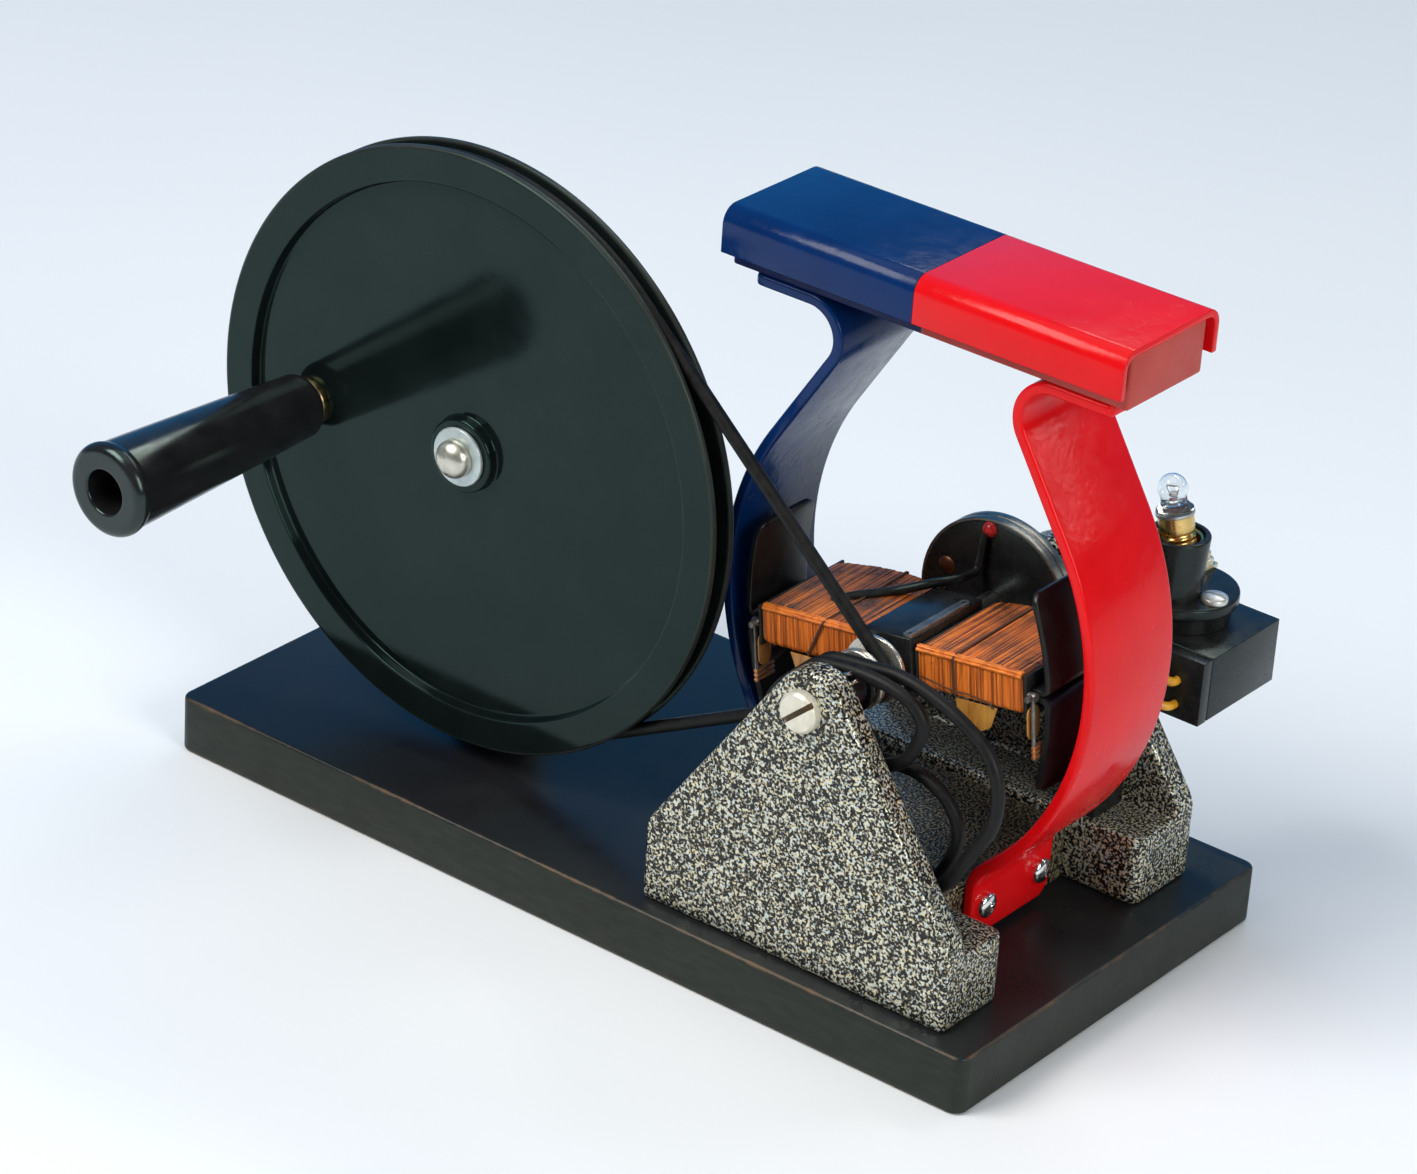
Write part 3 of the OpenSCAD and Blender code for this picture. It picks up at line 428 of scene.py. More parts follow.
def mat_hammered(name="hammered_enamel", painted_shade_tint=(1.0, 1.0, 1.0)):
    m = Mat(name, rough=0.36)
    worm = m.noise(1530, 0.8, 0.45, 0.35)
    fine = m.noise(3000, 1.0, 0.5)
    cell = m.math("ADD", m.math("MULTIPLY", worm, 0.86), m.math("MULTIPLY", fine, 0.14))
    base = m.ramp(cell, [(0.41, (0.003, 0.003, 0.004)), (0.475, (0.020, 0.017, 0.013)), (0.51, (0.145, 0.135, 0.102)), (0.56, (0.43, 0.43, 0.345)), (0.63, (0.74, 0.74, 0.62))])
    tint = m.ramp(m.noise(1350, 1), [(0.36, (1.12, 0.94, 0.68)), (0.46, (1, 0.98, 0.93)), (0.54, (1, 1, 1)), (0.64, (0.74, 0.90, 1.16))])
    # painted_shade_tint multiplies the whole enamel darker; the bed's copy uses it as painted shade.
    m.set("Base Color", m.mix(1.0, m.mix(1.0, base, tint, "MULTIPLY"), painted_shade_tint, "MULTIPLY"))
    m.set("Roughness", m.span(cell, 0.4, 0.62, 0.34, 0.24))
    m.set("Metallic", m.span(cell, 0.46, 0.62, 0.0, 0.4))
    m.set("Normal", m.bump(m.math("ADD", cell, m.math("MULTIPLY", m.noise(420, 2), 0.5)), 0.5, 0.0004))
    m.set("Specular IOR Level", 0.4)
    return m.m


def mat_wheel():
    m = Mat("turned_black", rough=0.1, Specular_IOR_Level=0.25)
    # Reflections tinted teal: painted reflection colour standing in for pale blue-green surroundings.
    m.set("Specular Tint", (0.55, 1.0, 0.92, 1))
    x, y, z = m.xyz()
    dx, dz = m.math("SUBTRACT", x, WX * MM), m.math("SUBTRACT", z, WZ * MM)
    rad = m.math("SQRT", m.math("ADD", m.math("MULTIPLY", dx, dx), m.math("MULTIPLY", dz, dz)))
    rings = m.noise(1.0, 4, 0.7, vec=m.combine(m.math("MULTIPLY", rad, 2600), m.math("MULTIPLY", y, 900), 0.0))
    broad = m.noise(1.0, 2, 0.5, vec=m.combine(m.math("MULTIPLY", rad, 240), 3.0, 0.0))
    spot = m.noise(70, 5, 0.65)
    # The outer rim is painted lighter grey and rougher: a painted highlight band on the rim's cylinder.
    rim_highlight = m.math("MULTIPLY", m.span(rad, 0.0783, 0.0788, 0.0, 1.0), m.span(spot, 0.25, 0.6, 0.6, 1.0))
    face = m.mix(m.span(spot, 0.35, 0.72, 0, 1), (0.0040, 0.0068, 0.0066), (0.0072, 0.0112, 0.0108))
    m.set("Base Color", m.mix(rim_highlight, face, (0.030, 0.031, 0.028)))
    m.set("Roughness", m.math("ADD", m.math("ADD", m.math("MULTIPLY", rim_highlight, 0.3), m.span(rings, 0.3, 0.7, 0.065, 0.1)), m.math("ADD", m.span(spot, 0.3, 0.8, -0.01, 0.03), m.span(broad, 0.3, 0.7, -0.01, 0.01))))
    dust = m.noise(2200, 2, 0.6)
    m.set("Normal", m.bump(m.math("ADD", rings, m.math("MULTIPLY", dust, 0.5)), 0.035, 0.00018))
    return m.m


def mat_black(name, c0=(0.008, 0.008, 0.009), c1=(0.016, 0.016, 0.017), r0=0.16, r1=0.3, bump=0.05, scale=160, coat=0.0, spec=0.3):
    m = Mat(name, rough=r0, Specular_IOR_Level=spec)
    # Reflections tinted teal: painted reflection colour standing in for pale blue-green surroundings.
    m.set("Specular Tint", (0.72, 1.0, 0.97, 1))
    n = m.noise(scale, 4, 0.62)
    m.set("Base Color", m.mix(m.span(n, 0.35, 0.7, 0, 1), c0, c1))
    streak = m.noise(1.0, 4, 0.65, vec=m.scaled(900, 120, 900))
    m.set("Roughness", m.math("ADD", m.span(n, 0.3, 0.75, r0, r1), m.span(streak, 0.35, 0.8, -0.02, 0.07)))
    m.set("Normal", m.bump(m.math("ADD", m.noise(900, 3, 0.6), m.math("MULTIPLY", m.noise(230, 2), 1.3)), bump, 0.0002))
    if coat:
        m.set("Coat Weight", coat)
        m.set("Coat Roughness", 0.12)
    return m.m


def mat_paint(name, c0, c1, chip, rough=0.17):
    """Brushed-on gloss paint: orange peel, soft mottling, rubbed spots."""
    m = Mat(name, rough=rough, Specular_IOR_Level=0.2)
    big = m.noise(45, 3, 0.55)
    fleck = m.noise(520, 3, 0.7)
    col = m.mix(m.span(big, 0.3, 0.72, 0, 1), c0, c1)
    col = m.mix(m.span(fleck, 0.62, 0.74, 0, 0.22), col, chip)
    m.set("Base Color", col)
    m.set("Roughness", m.math("ADD", m.span(m.noise(190, 4, 0.65), 0.3, 0.75, rough - 0.05, rough + 0.12), m.span(fleck, 0.55, 0.75, 0.0, 0.08)))
    peel = m.math("ADD", m.math("MULTIPLY", m.noise(640, 2, 0.5), 1.0), m.math("MULTIPLY", m.noise(170, 2, 0.5), 1.6))
    m.set("Normal", m.bump(peel, 0.13, 0.0004))
    return m


def mat_metal(name, c0, c1, r0=0.18, r1=0.38, stretch=(700, 120, 700), bump=0.05, metal=1.0):
    m = Mat(name, metal=metal, rough=r0)
    n = m.noise(300, 4, 0.65)
    s = m.noise(1.0, 4, 0.7, vec=m.scaled(*stretch))
    m.set("Base Color", m.mix(m.span(m.math("ADD", n, m.math("MULTIPLY", s, 0.5)), 0.5, 1.05, 0, 1), c0, c1))
    m.set("Roughness", m.math("ADD", m.span(s, 0.3, 0.75, r0, r1), m.span(n, 0.5, 0.8, 0.0, 0.1)))
    m.set("Normal", m.bump(s, bump, 0.00015))
    return m.m


def mat_copper_wire():
    """Varnished wire: bright orange at the front, brown varnish lying in streaks on top."""
    m = Mat("enamelled_wire", metal=0.15, rough=0.3, Specular_IOR_Level=0.4)
    x, y, z = m.xyz()
    ca, sa = math.cos(math.radians(TILT)), math.sin(math.radians(TILT))
    dx, dz = m.math("SUBTRACT", x, RX * MM), m.math("SUBTRACT", z, AZ * MM)
    u = m.math("ADD", m.math("MULTIPLY", dx, ca), m.math("MULTIPLY", dz, sa))
    w = m.math("SUBTRACT", m.math("MULTIPLY", dz, ca), m.math("MULTIPLY", dx, sa))
    wire = m.noise(1.0, 2, 0.6, vec=m.combine(m.math("MULTIPLY", u, 1900), m.math("MULTIPLY", y, 26), m.math("MULTIPLY", w, 40)))
    band = m.noise(1.0, 2, 0.5, vec=m.combine(m.math("MULTIPLY", u, 420), m.math("MULTIPLY", y, 30), 4.0))
    blot = m.noise(95, 3, 0.6)
    col = m.mix(m.span(wire, 0.34, 0.66, 0, 1), (0.56, 0.115, 0.011), (0.96, 0.275, 0.030))
    dark = m.span(m.math("ADD", wire, m.math("MULTIPLY", band, 0.5)), 0.58, 0.74, 0.85, 0.0)
    col = m.mix(m.math("MULTIPLY", dark, 0.6), col, (0.10, 0.024, 0.008))
    top = m.span(w, 0.0040, 0.0047, 0.0, 1.0)
    streak = m.span(m.math("ADD", m.math("MULTIPLY", blot, 0.9), m.math("MULTIPLY", wire, 0.8)), 0.64, 0.98, 0.92, 0.06)
    stain = m.math("MULTIPLY", top, m.math("ADD", streak, m.span(u, -0.012, 0.004, 0.26, 0.0), clamp=True))
    col = m.mix(stain, col, (0.070, 0.021, 0.012))
    m.set("Base Color", col)
    m.set("Roughness", m.span(blot, 0.3, 0.75, 0.24, 0.42))
    m.set("Normal", m.bump(m.noise(2400, 2), 0.06, 0.0001))
    return m.m


def mat_lip():
    m = Mat("wire_lip", metal=0.1, rough=0.3, Specular_IOR_Level=0.4)
    n = m.noise(300, 3, 0.6)
    f = m.noise(1.0, 3, 0.6, vec=m.scaled(160, 2600, 2600))
    col = m.mix(m.span(n, 0.34, 0.68, 0, 1), (0.52, 0.105, 0.012), (0.92, 0.27, 0.032))
    m.set("Base Color", m.mix(m.span(f, 0.5, 0.7, 0, 0.55), col, (0.16, 0.035, 0.01)))
    m.set("Roughness", m.span(n, 0.3, 0.75, 0.24, 0.42))
    m.set("Normal", m.bump(f, 0.2, 0.00012))
    return m.m


def mat_strap():
    m = Mat("varnished_iron", rough=0.34, Specular_IOR_Level=0.3)
    n = m.noise(210, 4, 0.65)
    s_ = m.noise(1.0, 4, 0.7, vec=m.scaled(160, 900, 160))
    col = m.mix(m.span(n, 0.35, 0.72, 0, 1), (0.0045, 0.0045, 0.005), (0.012, 0.0115, 0.0115))
    m.set("Base Color", m.mix(m.span(s_, 0.6, 0.8, 0, 0.5), col, (0.03, 0.028, 0.027)))
    m.set("Roughness", m.span(n, 0.3, 0.75, 0.26, 0.44))
    m.set("Normal", m.bump(m.math("ADD", m.math("MULTIPLY", n, 0.8), s_), 0.12, 0.00014))
    return m.m


def mat_rubber():
    m = Mat("belt_rubber", rough=0.5, Specular_IOR_Level=0.22)
    n = m.noise(420, 4, 0.65)
    m.set("Base Color", m.mix(m.span(n, 0.36, 0.72, 0, 1), (0.0042, 0.0042, 0.0043), (0.0105, 0.0102, 0.01)))
    m.set("Roughness", m.span(n, 0.3, 0.75, 0.4, 0.6))
    m.set("Normal", m.bump(m.math("ADD", m.noise(1700, 3), m.math("MULTIPLY", n, 0.7)), 0.16, 0.0002))
    return m.m


def mat_paper():
    m = Mat("varnished_paper", rough=0.4)
    n = m.noise(1.0, 4, 0.65, vec=m.scaled(900, 900, 160))
    m.set("Base Color", m.mix(m.span(n, 0.3, 0.75, 0, 1), (0.30, 0.115, 0.016), (0.56, 0.27, 0.05)))
    m.set("Roughness", m.span(m.noise(300, 3), 0.3, 0.75, 0.3, 0.5))
    m.set("Normal", m.bump(n, 0.2, 0.00015))
    return m.m


def mat_sleeve():
    m = Mat("amber_sleeve", rough=0.26)
    n = m.noise(380, 3, 0.6)
    m.set("Base Color", m.mix(m.span(n, 0.35, 0.7, 0, 1), (0.62, 0.27, 0.015), (0.85, 0.44, 0.04)))
    m.set("Roughness", m.span(n, 0.3, 0.75, 0.2, 0.36))
    m.set("Normal", m.bump(m.noise(1500, 2), 0.08, 0.00012))
    return m.m


def mat_wax():
    m = Mat("sealing_wax", rough=0.22)
    n = m.noise(700, 3, 0.6)
    m.set("Base Color", m.mix(m.span(n, 0.35, 0.7, 0, 1), (0.42, 0.012, 0.012), (0.68, 0.03, 0.026)))
    m.set("Roughness", m.span(n, 0.3, 0.7, 0.16, 0.34))
    m.set("Normal", m.bump(m.noise(900, 2), 0.35, 0.0003))
    return m.m


def mat_glass():
    m = Mat("lamp_glass", colour=(0.96, 0.985, 1.0), rough=0.02)
    m.set("Transmission Weight", 1.0)
    m.set("IOR", 1.47)
    m.set("Normal", m.bump(m.noise(260, 2), 0.03, 0.0001))
    return m.m


def mat_thread():
    m = Mat("tie_thread", rough=0.75)
    n = m.noise(1.0, 3, 0.6, vec=m.scaled(2400, 2400, 500))
    m.set("Base Color", m.mix(m.span(n, 0.3, 0.75, 0, 1), (0.045, 0.016, 0.008), (0.14, 0.055, 0.022)))
    m.set("Roughness", m.span(n, 0.3, 0.75, 0.6, 0.85))
    m.set("Normal", m.bump(n, 0.4, 0.0001))
    return m.m


BOARD = mat_board()
HAMMERED = mat_hammered()
# A darker, browner copy of the enamel for the bed block: painted shade for the shadow that falls under the armature.
SHADED_ENAMEL = mat_hammered("hammered_enamel_painted_shade", (0.46, 0.40, 0.31))
WHEEL = mat_wheel()
GRIP = mat_black("grip_moulding", r0=0.14, r1=0.26, bump=0.035, scale=120, spec=0.5)
MOULDED = mat_black("black_moulding", (0.009, 0.009, 0.01), (0.02, 0.0195, 0.019), 0.2, 0.34, 0.06)
FIBRE = mat_black("black_fibre", (0.008, 0.008, 0.008), (0.022, 0.02, 0.019), 0.36, 0.55, 0.16, 320)
BLACKPAINT = mat_black("black_paint", (0.01, 0.01, 0.011), (0.02, 0.02, 0.021), 0.24, 0.38, 0.12, 90)
SLEEVE = mat_black("black_sleeve", (0.009, 0.009, 0.009), (0.02, 0.019, 0.019), 0.3, 0.45, 0.12, 500)
RED = mat_paint("red_gloss", (0.66, 0.0030, 0.0055), (0.76, 0.0060, 0.0090), (0.46, 0.003, 0.005)).m
BLUE = mat_paint("blue_gloss", (0.0012, 0.0175, 0.090), (0.0020, 0.0242, 0.116), (0.0015, 0.007, 0.04)).m
GREASE = mat_black("old_grease", (0.12, 0.065, 0.028), (0.26, 0.15, 0.07), 0.4, 0.6, 0.2, 900)
NICKEL = mat_metal("nickel_plate", (0.62, 0.6, 0.55), (0.82, 0.8, 0.75), 0.16, 0.32)
STEEL = mat_metal("zinc_plate", (0.42, 0.42, 0.41), (0.62, 0.61, 0.59), 0.28, 0.48, bump=0.09)
BRIGHT = mat_metal("bright_plate", (0.74, 0.74, 0.72), (0.88, 0.87, 0.85), 0.09, 0.2, bump=0.03)
CREAM = mat_metal("dull_nickel", (0.66, 0.62, 0.50), (0.84, 0.81, 0.70), 0.3, 0.46, (500, 900, 200), 0.1, 0.35)
TURNED = mat_metal("turned_nickel", (0.42, 0.40, 0.34), (0.64, 0.62, 0.55), 0.2, 0.36, (300, 1800, 300), 0.08, 0.8)
RINGMETAL = mat_metal("ring_metal", (0.13, 0.125, 0.11), (0.30, 0.29, 0.26), 0.24, 0.42, (160, 2600, 160), 0.12)
BRASS = mat_metal("brass_plain", (0.66, 0.42, 0.13), (0.86, 0.62, 0.25), 0.2, 0.4)
PALE = mat_metal("pale_washer", (0.42, 0.49, 0.49), (0.60, 0.67, 0.67), 0.3, 0.46, (400, 400, 400), 0.06, 0.6)
DOME = mat_metal("dull_dome", (0.56, 0.54, 0.46), (0.74, 0.72, 0.63), 0.26, 0.38, (300, 300, 300), 0.08, 0.85)
SCREWHEAD = mat_metal("dull_screw", (0.56, 0.57, 0.54), (0.78, 0.78, 0.74), 0.3, 0.44, (500, 500, 500), 0.08, 0.7)
PALEBRASS = mat_metal("pale_brass", (0.58, 0.50, 0.32), (0.80, 0.74, 0.54), 0.26, 0.42)
# A darkened copy of brass for the crank collar: painted shade for the shadow the grip casts on it.
SHADED_BRASS = mat_metal("brass_painted_shade", (0.20, 0.14, 0.06), (0.46, 0.36, 0.18), 0.25, 0.45)
BARECOPPER = mat_metal("bare_copper", (0.45, 0.17, 0.06), (0.66, 0.30, 0.13), 0.22, 0.4, metal=0.7)
TAG = mat_metal("tinned_tag", (0.10, 0.095, 0.085), (0.30, 0.29, 0.26), 0.3, 0.5, metal=0.8)
COPPER = mat_metal("copper_dull", (0.14, 0.062, 0.034), (0.30, 0.14, 0.075), 0.34, 0.55)
WIRE = mat_copper_wire()
LIP = mat_lip()
IRON = mat_strap()
RUBBER = mat_rubber()
PAPER = mat_paper()
AMBER = mat_sleeve()
WAX = mat_wax()
GLASS = mat_glass()
BEAD = mat_metal("glass_bead", (0.72, 0.66, 0.62), (0.86, 0.82, 0.80), 0.2, 0.36, metal=0.0)
THREAD = mat_thread()


def mat_magnet():
    m = mat_paint("magnet_two_tone", (0.40, 0.045, 0.036), (0.50, 0.075, 0.060), (0.26, 0.02, 0.016), 0.42)
    x, y, z = m.xyz()
    old = m.b.inputs["Base Color"].links[0].from_socket
    half = m.span(x, (MAG_XM - 0.15) * MM, (MAG_XM + 0.15) * MM, 0, 1)
    m.set("Base Color", m.mix(half, (0.004, 0.011, 0.07), old))
    return m.m


MAGNET = mat_magnet()

# ------------------------------------------------------------------ spare belt, a free cord hung over the front bush
SPARE = [(61.2, -42.6, 88.3), (63.7, -42.6, 90.9), (67.6, -42.6, 92), (76.5, -42.6, 93.2), (84, -42.6, 93.9), (92.5, -42.6, 92.6),
         (101.5, -42.8, 89.6), (110, -43, 84.5), (114.5, -43.5, 76.5), (114.5, -44.2, 66.5), (109.5, -45, 57), (104.5, -45.5, 48.5),
         (96, -45.6, 40.5), (84, -45.6, 36.6), (68, -45.5, 36.4), (54, -45.3, 40), (48, -44.3, 49), (53, -42.6, 59), (63, -41.4, 65.5),
         (74, -41.1, 68.8), (84, -41, 70), (92, -41, 69.8), (99.5, -41, 66), (103.3, -41, 59), (101.5, -41, 51), (96, -41, 42.5),
         (86, -41, 37), (72, -41, 36.2), (57, -41.3, 36.8), (46, -42.2, 42.5), (43, -43.5, 53), (46.5, -45, 66), (51.8, -46.3, 79),
         (59.5, -46.5, 87.6), (63.5, -46.4, 91), (67.6, -46.4, 92.1), (76, -46.3, 92.9), (83.5, -46, 92.4), (90, -45.6, 90.2), (93.3, -45.3, 86),
         (92.3, -45, 80.5), (88, -45.1, 73.5), (79, -45.3, 69.8), (67, -45.2, 68.8), (59, -44.4, 71.3), (55.5, -43.2, 78), (58, -42.7, 84)]
spare_loop = smooth_loop(SPARE, 7)
bm = bmesh.new()
tube_into(bm, spare_loop, BELT_D / 2 - 0.02, 16, closed=True)
spare = place(finish_mesh("spare_belt_cord", bm, RUBBER, 60), "spare_belt")

# ------------------------------------------------------------------ base board
bm = bmesh.new()
plan = rounded([(-BASE_L / 2, -BASE_W / 2), (BASE_L / 2, -BASE_W / 2), (BASE_L / 2, BASE_W / 2), (-BASE_L / 2, BASE_W / 2)], BASE_R, 10)
prism_into(bm, plan, "xy", 0, BASE_T, 0.9, 4)
place(finish_mesh("board", bm, BOARD, 50), "base_board")
place(refined("base_screws", STEEL, 0.12), "base_screws")


# ------------------------------------------------------------------ castings, with cast fillets
def casting(name, parts, mat, voxel=0.7, rounds=5):
    """Joins prisms into one skin and softens its edges and inner corners the way a casting's are."""
    bm = bmesh.new()
    for p in parts:
        prism_into(bm, *p)
    obj = finish_mesh(name, bm, mat, 180)
    rem = obj.modifiers.new("remesh", "REMESH")
    rem.mode = "VOXEL"
    rem.voxel_size = voxel * MM
    rem.use_smooth_shade = True
    sm = obj.modifiers.new("smooth", "SMOOTH")
    sm.factor = 0.5
    sm.iterations = rounds
    dg = bpy.context.evaluated_depsgraph_get()
    me = bpy.data.meshes.new_from_object(obj.evaluated_get(dg))
    obj.modifiers.clear()
    old = obj.data
    obj.data = me
    bpy.data.meshes.remove(old)
    for p in me.polygons:
        p.use_smooth = True
    if not me.materials:
        me.materials.append(mat)
    return obj


PED_SH, PED_AR = 37.0, 10.2
PED_TA = math.degrees(math.atan2(PED_SH - AZ, PED_HALF) + math.acos(PED_AR / math.hypot(PED_HALF, PED_SH - AZ)))
WEB_OUT = rounded([(AX - PED_HALF, BASE_T), (AX + PED_HALF, BASE_T), (AX + PED_HALF, PED_SH)] + arc((AX, AZ), PED_AR, PED_TA, 180 - PED_TA, 16) +
                  [(AX - PED_HALF, PED_SH)], [0, 0, 7] + [0] * 17 + [9], 8)


def foot_out(y0, y1, inner_hi):
    r = [0, 0, 3.5, 3.5] if inner_hi else [3.5, 3.5, 0, 0]
    return rounded([(AX - PED_HALF, y0), (AX + PED_HALF, y0), (AX + PED_HALF, y1), (AX - PED_HALF, y1)], r, 6)


front_ped = casting("front_casting", [(WEB_OUT, "xz", PED_F, PED_F + WEB, 0.9, 3), (foot_out(PED_F, PED_F + FOOT_D, True), "xy", BASE_T, FOOT_Z, 0.9, 3)], HAMMERED)
place(front_ped, "front_pedestal")
rear_ped = casting("rear_casting", [(WEB_OUT, "xz", PED_R - WEB, PED_R, 0.9, 3), (foot_out(PED_R - FOOT_D, PED_R, False), "xy", BASE_T, FOOT_Z, 0.9, 3)], HAMMERED)
place(rear_ped, "rear_pedestal")
bed = casting("bed_casting", [([(AX - BED_HALF, PED_F + FOOT_D + 0.05), (AX + BED_HALF, PED_F + FOOT_D + 0.05), (AX + BED_HALF, PED_R - FOOT_D - 0.05), (AX - BED_HALF, PED_R - FOOT_D - 0.05)],
                               "xy", BASE_T, BED_Z, 0.8, 3)], SHADED_ENAMEL, 0.8, 3)
place(bed, "bed_block")

def bearing_screw(name, node, face):
    """The slotted screw again, with old brown grease left in the slot."""
    obj = refined(node, [CREAM, GREASE], 0.22)
    for v in obj.data.vertices:
        r = math.hypot(v.co.x / MM - RX, v.co.z / MM - AZ)
        if r > 3.6:
            k = (3.6 + (r - 3.6) * 0.87) / r
            v.co.x, v.co.z = (RX + (v.co.x / MM - RX) * k) * MM, (AZ + (v.co.z / MM - AZ) * k) * MM
    for f in obj.data.polygons:
        f.material_index = 1 if abs(f.center.y / MM - face) < 2.2 and abs(f.center.y / MM - face) > 0.3 and math.hypot(f.center.x / MM - RX, f.center.z / MM - AZ) < 5.2 and is_slot(f) else 0
    return place(obj, node)


def is_slot(f):
    a = math.radians(42)
    across = abs((f.center.x / MM - RX) * math.sin(a) - (f.center.z / MM - AZ) * math.cos(a))
    return across < 0.85


bearing_screw("front", "front_bearing_screw", PED_F - 3.0)
bearing_screw("rear", "rear_bearing_screw", PED_R + 3.0)
place(refined("front_bearing_bush", MOULDED, 0.3), "front_bearing_bush")
place(refined("rear_bearing_bush", MOULDED, 0.3), "rear_bearing_bush")
place(refined("bush_split_pin", BRIGHT, 0.12, angle=60), "bush_split_pin")

# ------------------------------------------------------------------ wheel, crank and axle
bm = bmesh.new()
wheel_prof = rounded([(3.1, -36.75), (9.7, -36.75), (9.7, WY0 + 2.6), (69.65, WY0 + 2.6), (70.1, WY0), (WHEEL_R, WY0), (WHEEL_R, BELT_Y - 2.6),
                      (74.5, BELT_Y - 1.95), (74.5, BELT_Y + 1.95), (WHEEL_R, BELT_Y + 2.6), (WHEEL_R, WY1), (70.3, WY1), (69.5, WY1 - 1.2),
                      (10.5, WY1 - 1.2), (10.5, WY1), (3.1, WY1)],
                     [0.2, 0.6, 0.5, 0.45, 0.4, 0.95, 0.4, 0.6, 0.6, 0.4, 0.8, 0.45, 0.45, 0.5, 0.5, 0.2], 5)
lathe_into(bm, held(wheel_prof), 288, (WX, WZ))
place(finish_mesh("wheel", bm, WHEEL, 50), "drive_wheel")

bm = bmesh.new()
GRIP_END = -108.2
grip_prof = [(3.08, -86.6), (3.08, -36.6)] + arc((5.5, -39.6), 3, 90, 0, 10)
for i in range(25):
    t = i / 24
    y = -41 + (GRIP_END + 4.5 + 41) * t
    grip_prof.append((8.52 + 3.03 * t + 0.05 * math.sin(math.pi * t), y))
grip_prof += [(11.62, GRIP_END + 4.25), (11.85, GRIP_END + 4.05)] + arc((9.65, GRIP_END + 2.55), 2.55, 28, -90, 14)
grip_prof += arc((6.45, GRIP_END + 0.7), 0.7, 270, 180, 5) + [(5.75, -86.6)]
lathe_into(bm, held(grip_prof, 0.3), 96, (CX, CZ))
place(finish_mesh("grip", bm, GRIP, 40), "handle_grip")
place(refined("crank_pin", STEEL, 0.2), "crank_pin")
place(refined("crank_collar", SHADED_BRASS, 0.2), "crank_collar")
place(refined("axle_stud", STEEL, 0.3), "axle_stud")
place(refined("axle_spacer", STEEL, 0.25), "axle_spacer")
place(refined("axle_washer", PALE, 0.18), "axle_washer")
place(refined("axle_rear_nut", STEEL, 0.35), "axle_rear_nut")
bm = bmesh.new()
cap = [(0, -37.9), (4.8, -37.9), (5.0, -38.1), (5.0, -39.0)] + [(5.0 * math.cos(math.radians(6 * i)), -39.2 - 3.4 * math.sin(math.radians(6 * i))) for i in range(1, 15)] + [(0, -42.6)]
lathe_into(bm, cap, 64, (WX, WZ), closed=False)
place(finish_mesh("cap_nut", bm, DOME, 45), "axle_cap_nut")
place(refined("wheel_post", BLACKPAINT, 0.5, 3), "wheel_post")

# ------------------------------------------------------------------ drive belt
dist = math.hypot(RX - WX, AZ - WZ)
way = math.atan2(AZ - WZ, RX - WX)
opening = math.acos((BELT_RW - BELT_RP) / dist)


def belt_pt(cx, cz, r, a):
    return Vector((cx + r * math.cos(a), BELT_Y, cz + r * math.sin(a)))


path = [belt_pt(WX, WZ, BELT_RW, way + opening + (2 * math.pi - 2 * opening) * i / 150) for i in range(151)]
p, q = path[-1], belt_pt(RX, AZ, BELT_RP, way - opening)
path += [p + (q - p) * i / 20 for i in range(1, 20)]
path += [belt_pt(RX, AZ, BELT_RP, way - opening + 2 * opening * i / 24) for i in range(25)]
p, q = path[-1], path[0]
path += [p + (q - p) * i / 20 for i in range(1, 20)]
bm = bmesh.new()
tube_into(bm, path, BELT_D / 2 - 0.02, 16, closed=True)
place(finish_mesh("belt", bm, RUBBER, 60), "drive_belt")

# ------------------------------------------------------------------ pole strips
RI, BO = STRIP_RO - STRIP_T, 10.5
top_cz = MAG_Z - BO
top_cu = 34.8
top_a = math.degrees(math.atan2(top_cz - STRIP_CZ, top_cu + STRIP_CU) - math.acos((RI + BO) / math.hypot(top_cu + STRIP_CU, top_cz - STRIP_CZ)))
LOW_R = 8.0
low_cu = BED_HALF + STRIP_T + LOW_R
low_cz = STRIP_CZ - math.sqrt((STRIP_RO + LOW_R) ** 2 - (low_cu + STRIP_CU) ** 2)
low_a = math.degrees(math.atan2(low_cz - STRIP_CZ, low_cu + STRIP_CU))
H = STRIP_T / 2
centre = [(BED_HALF + H, 17.5 + (low_cz - 17.5) * i / 16) for i in range(16)]
centre += arc((low_cu, low_cz), LOW_R + H, 180, 180 + low_a, 10)
centre += arc((-STRIP_CU, STRIP_CZ), RI + H, low_a, top_a, 64)[1:]
bend = arc((top_cu, top_cz), BO - H, 180 + top_a, 90, 24)
centre += [tuple(Vector(centre[-1]).lerp(Vector(bend[0]), i / 12)) for i in range(1, 12)] + bend
end_u = 51.0
centre += [(top_cu + (end_u - top_cu) * i / 12, MAG_Z - H) for i in range(1, 13)]


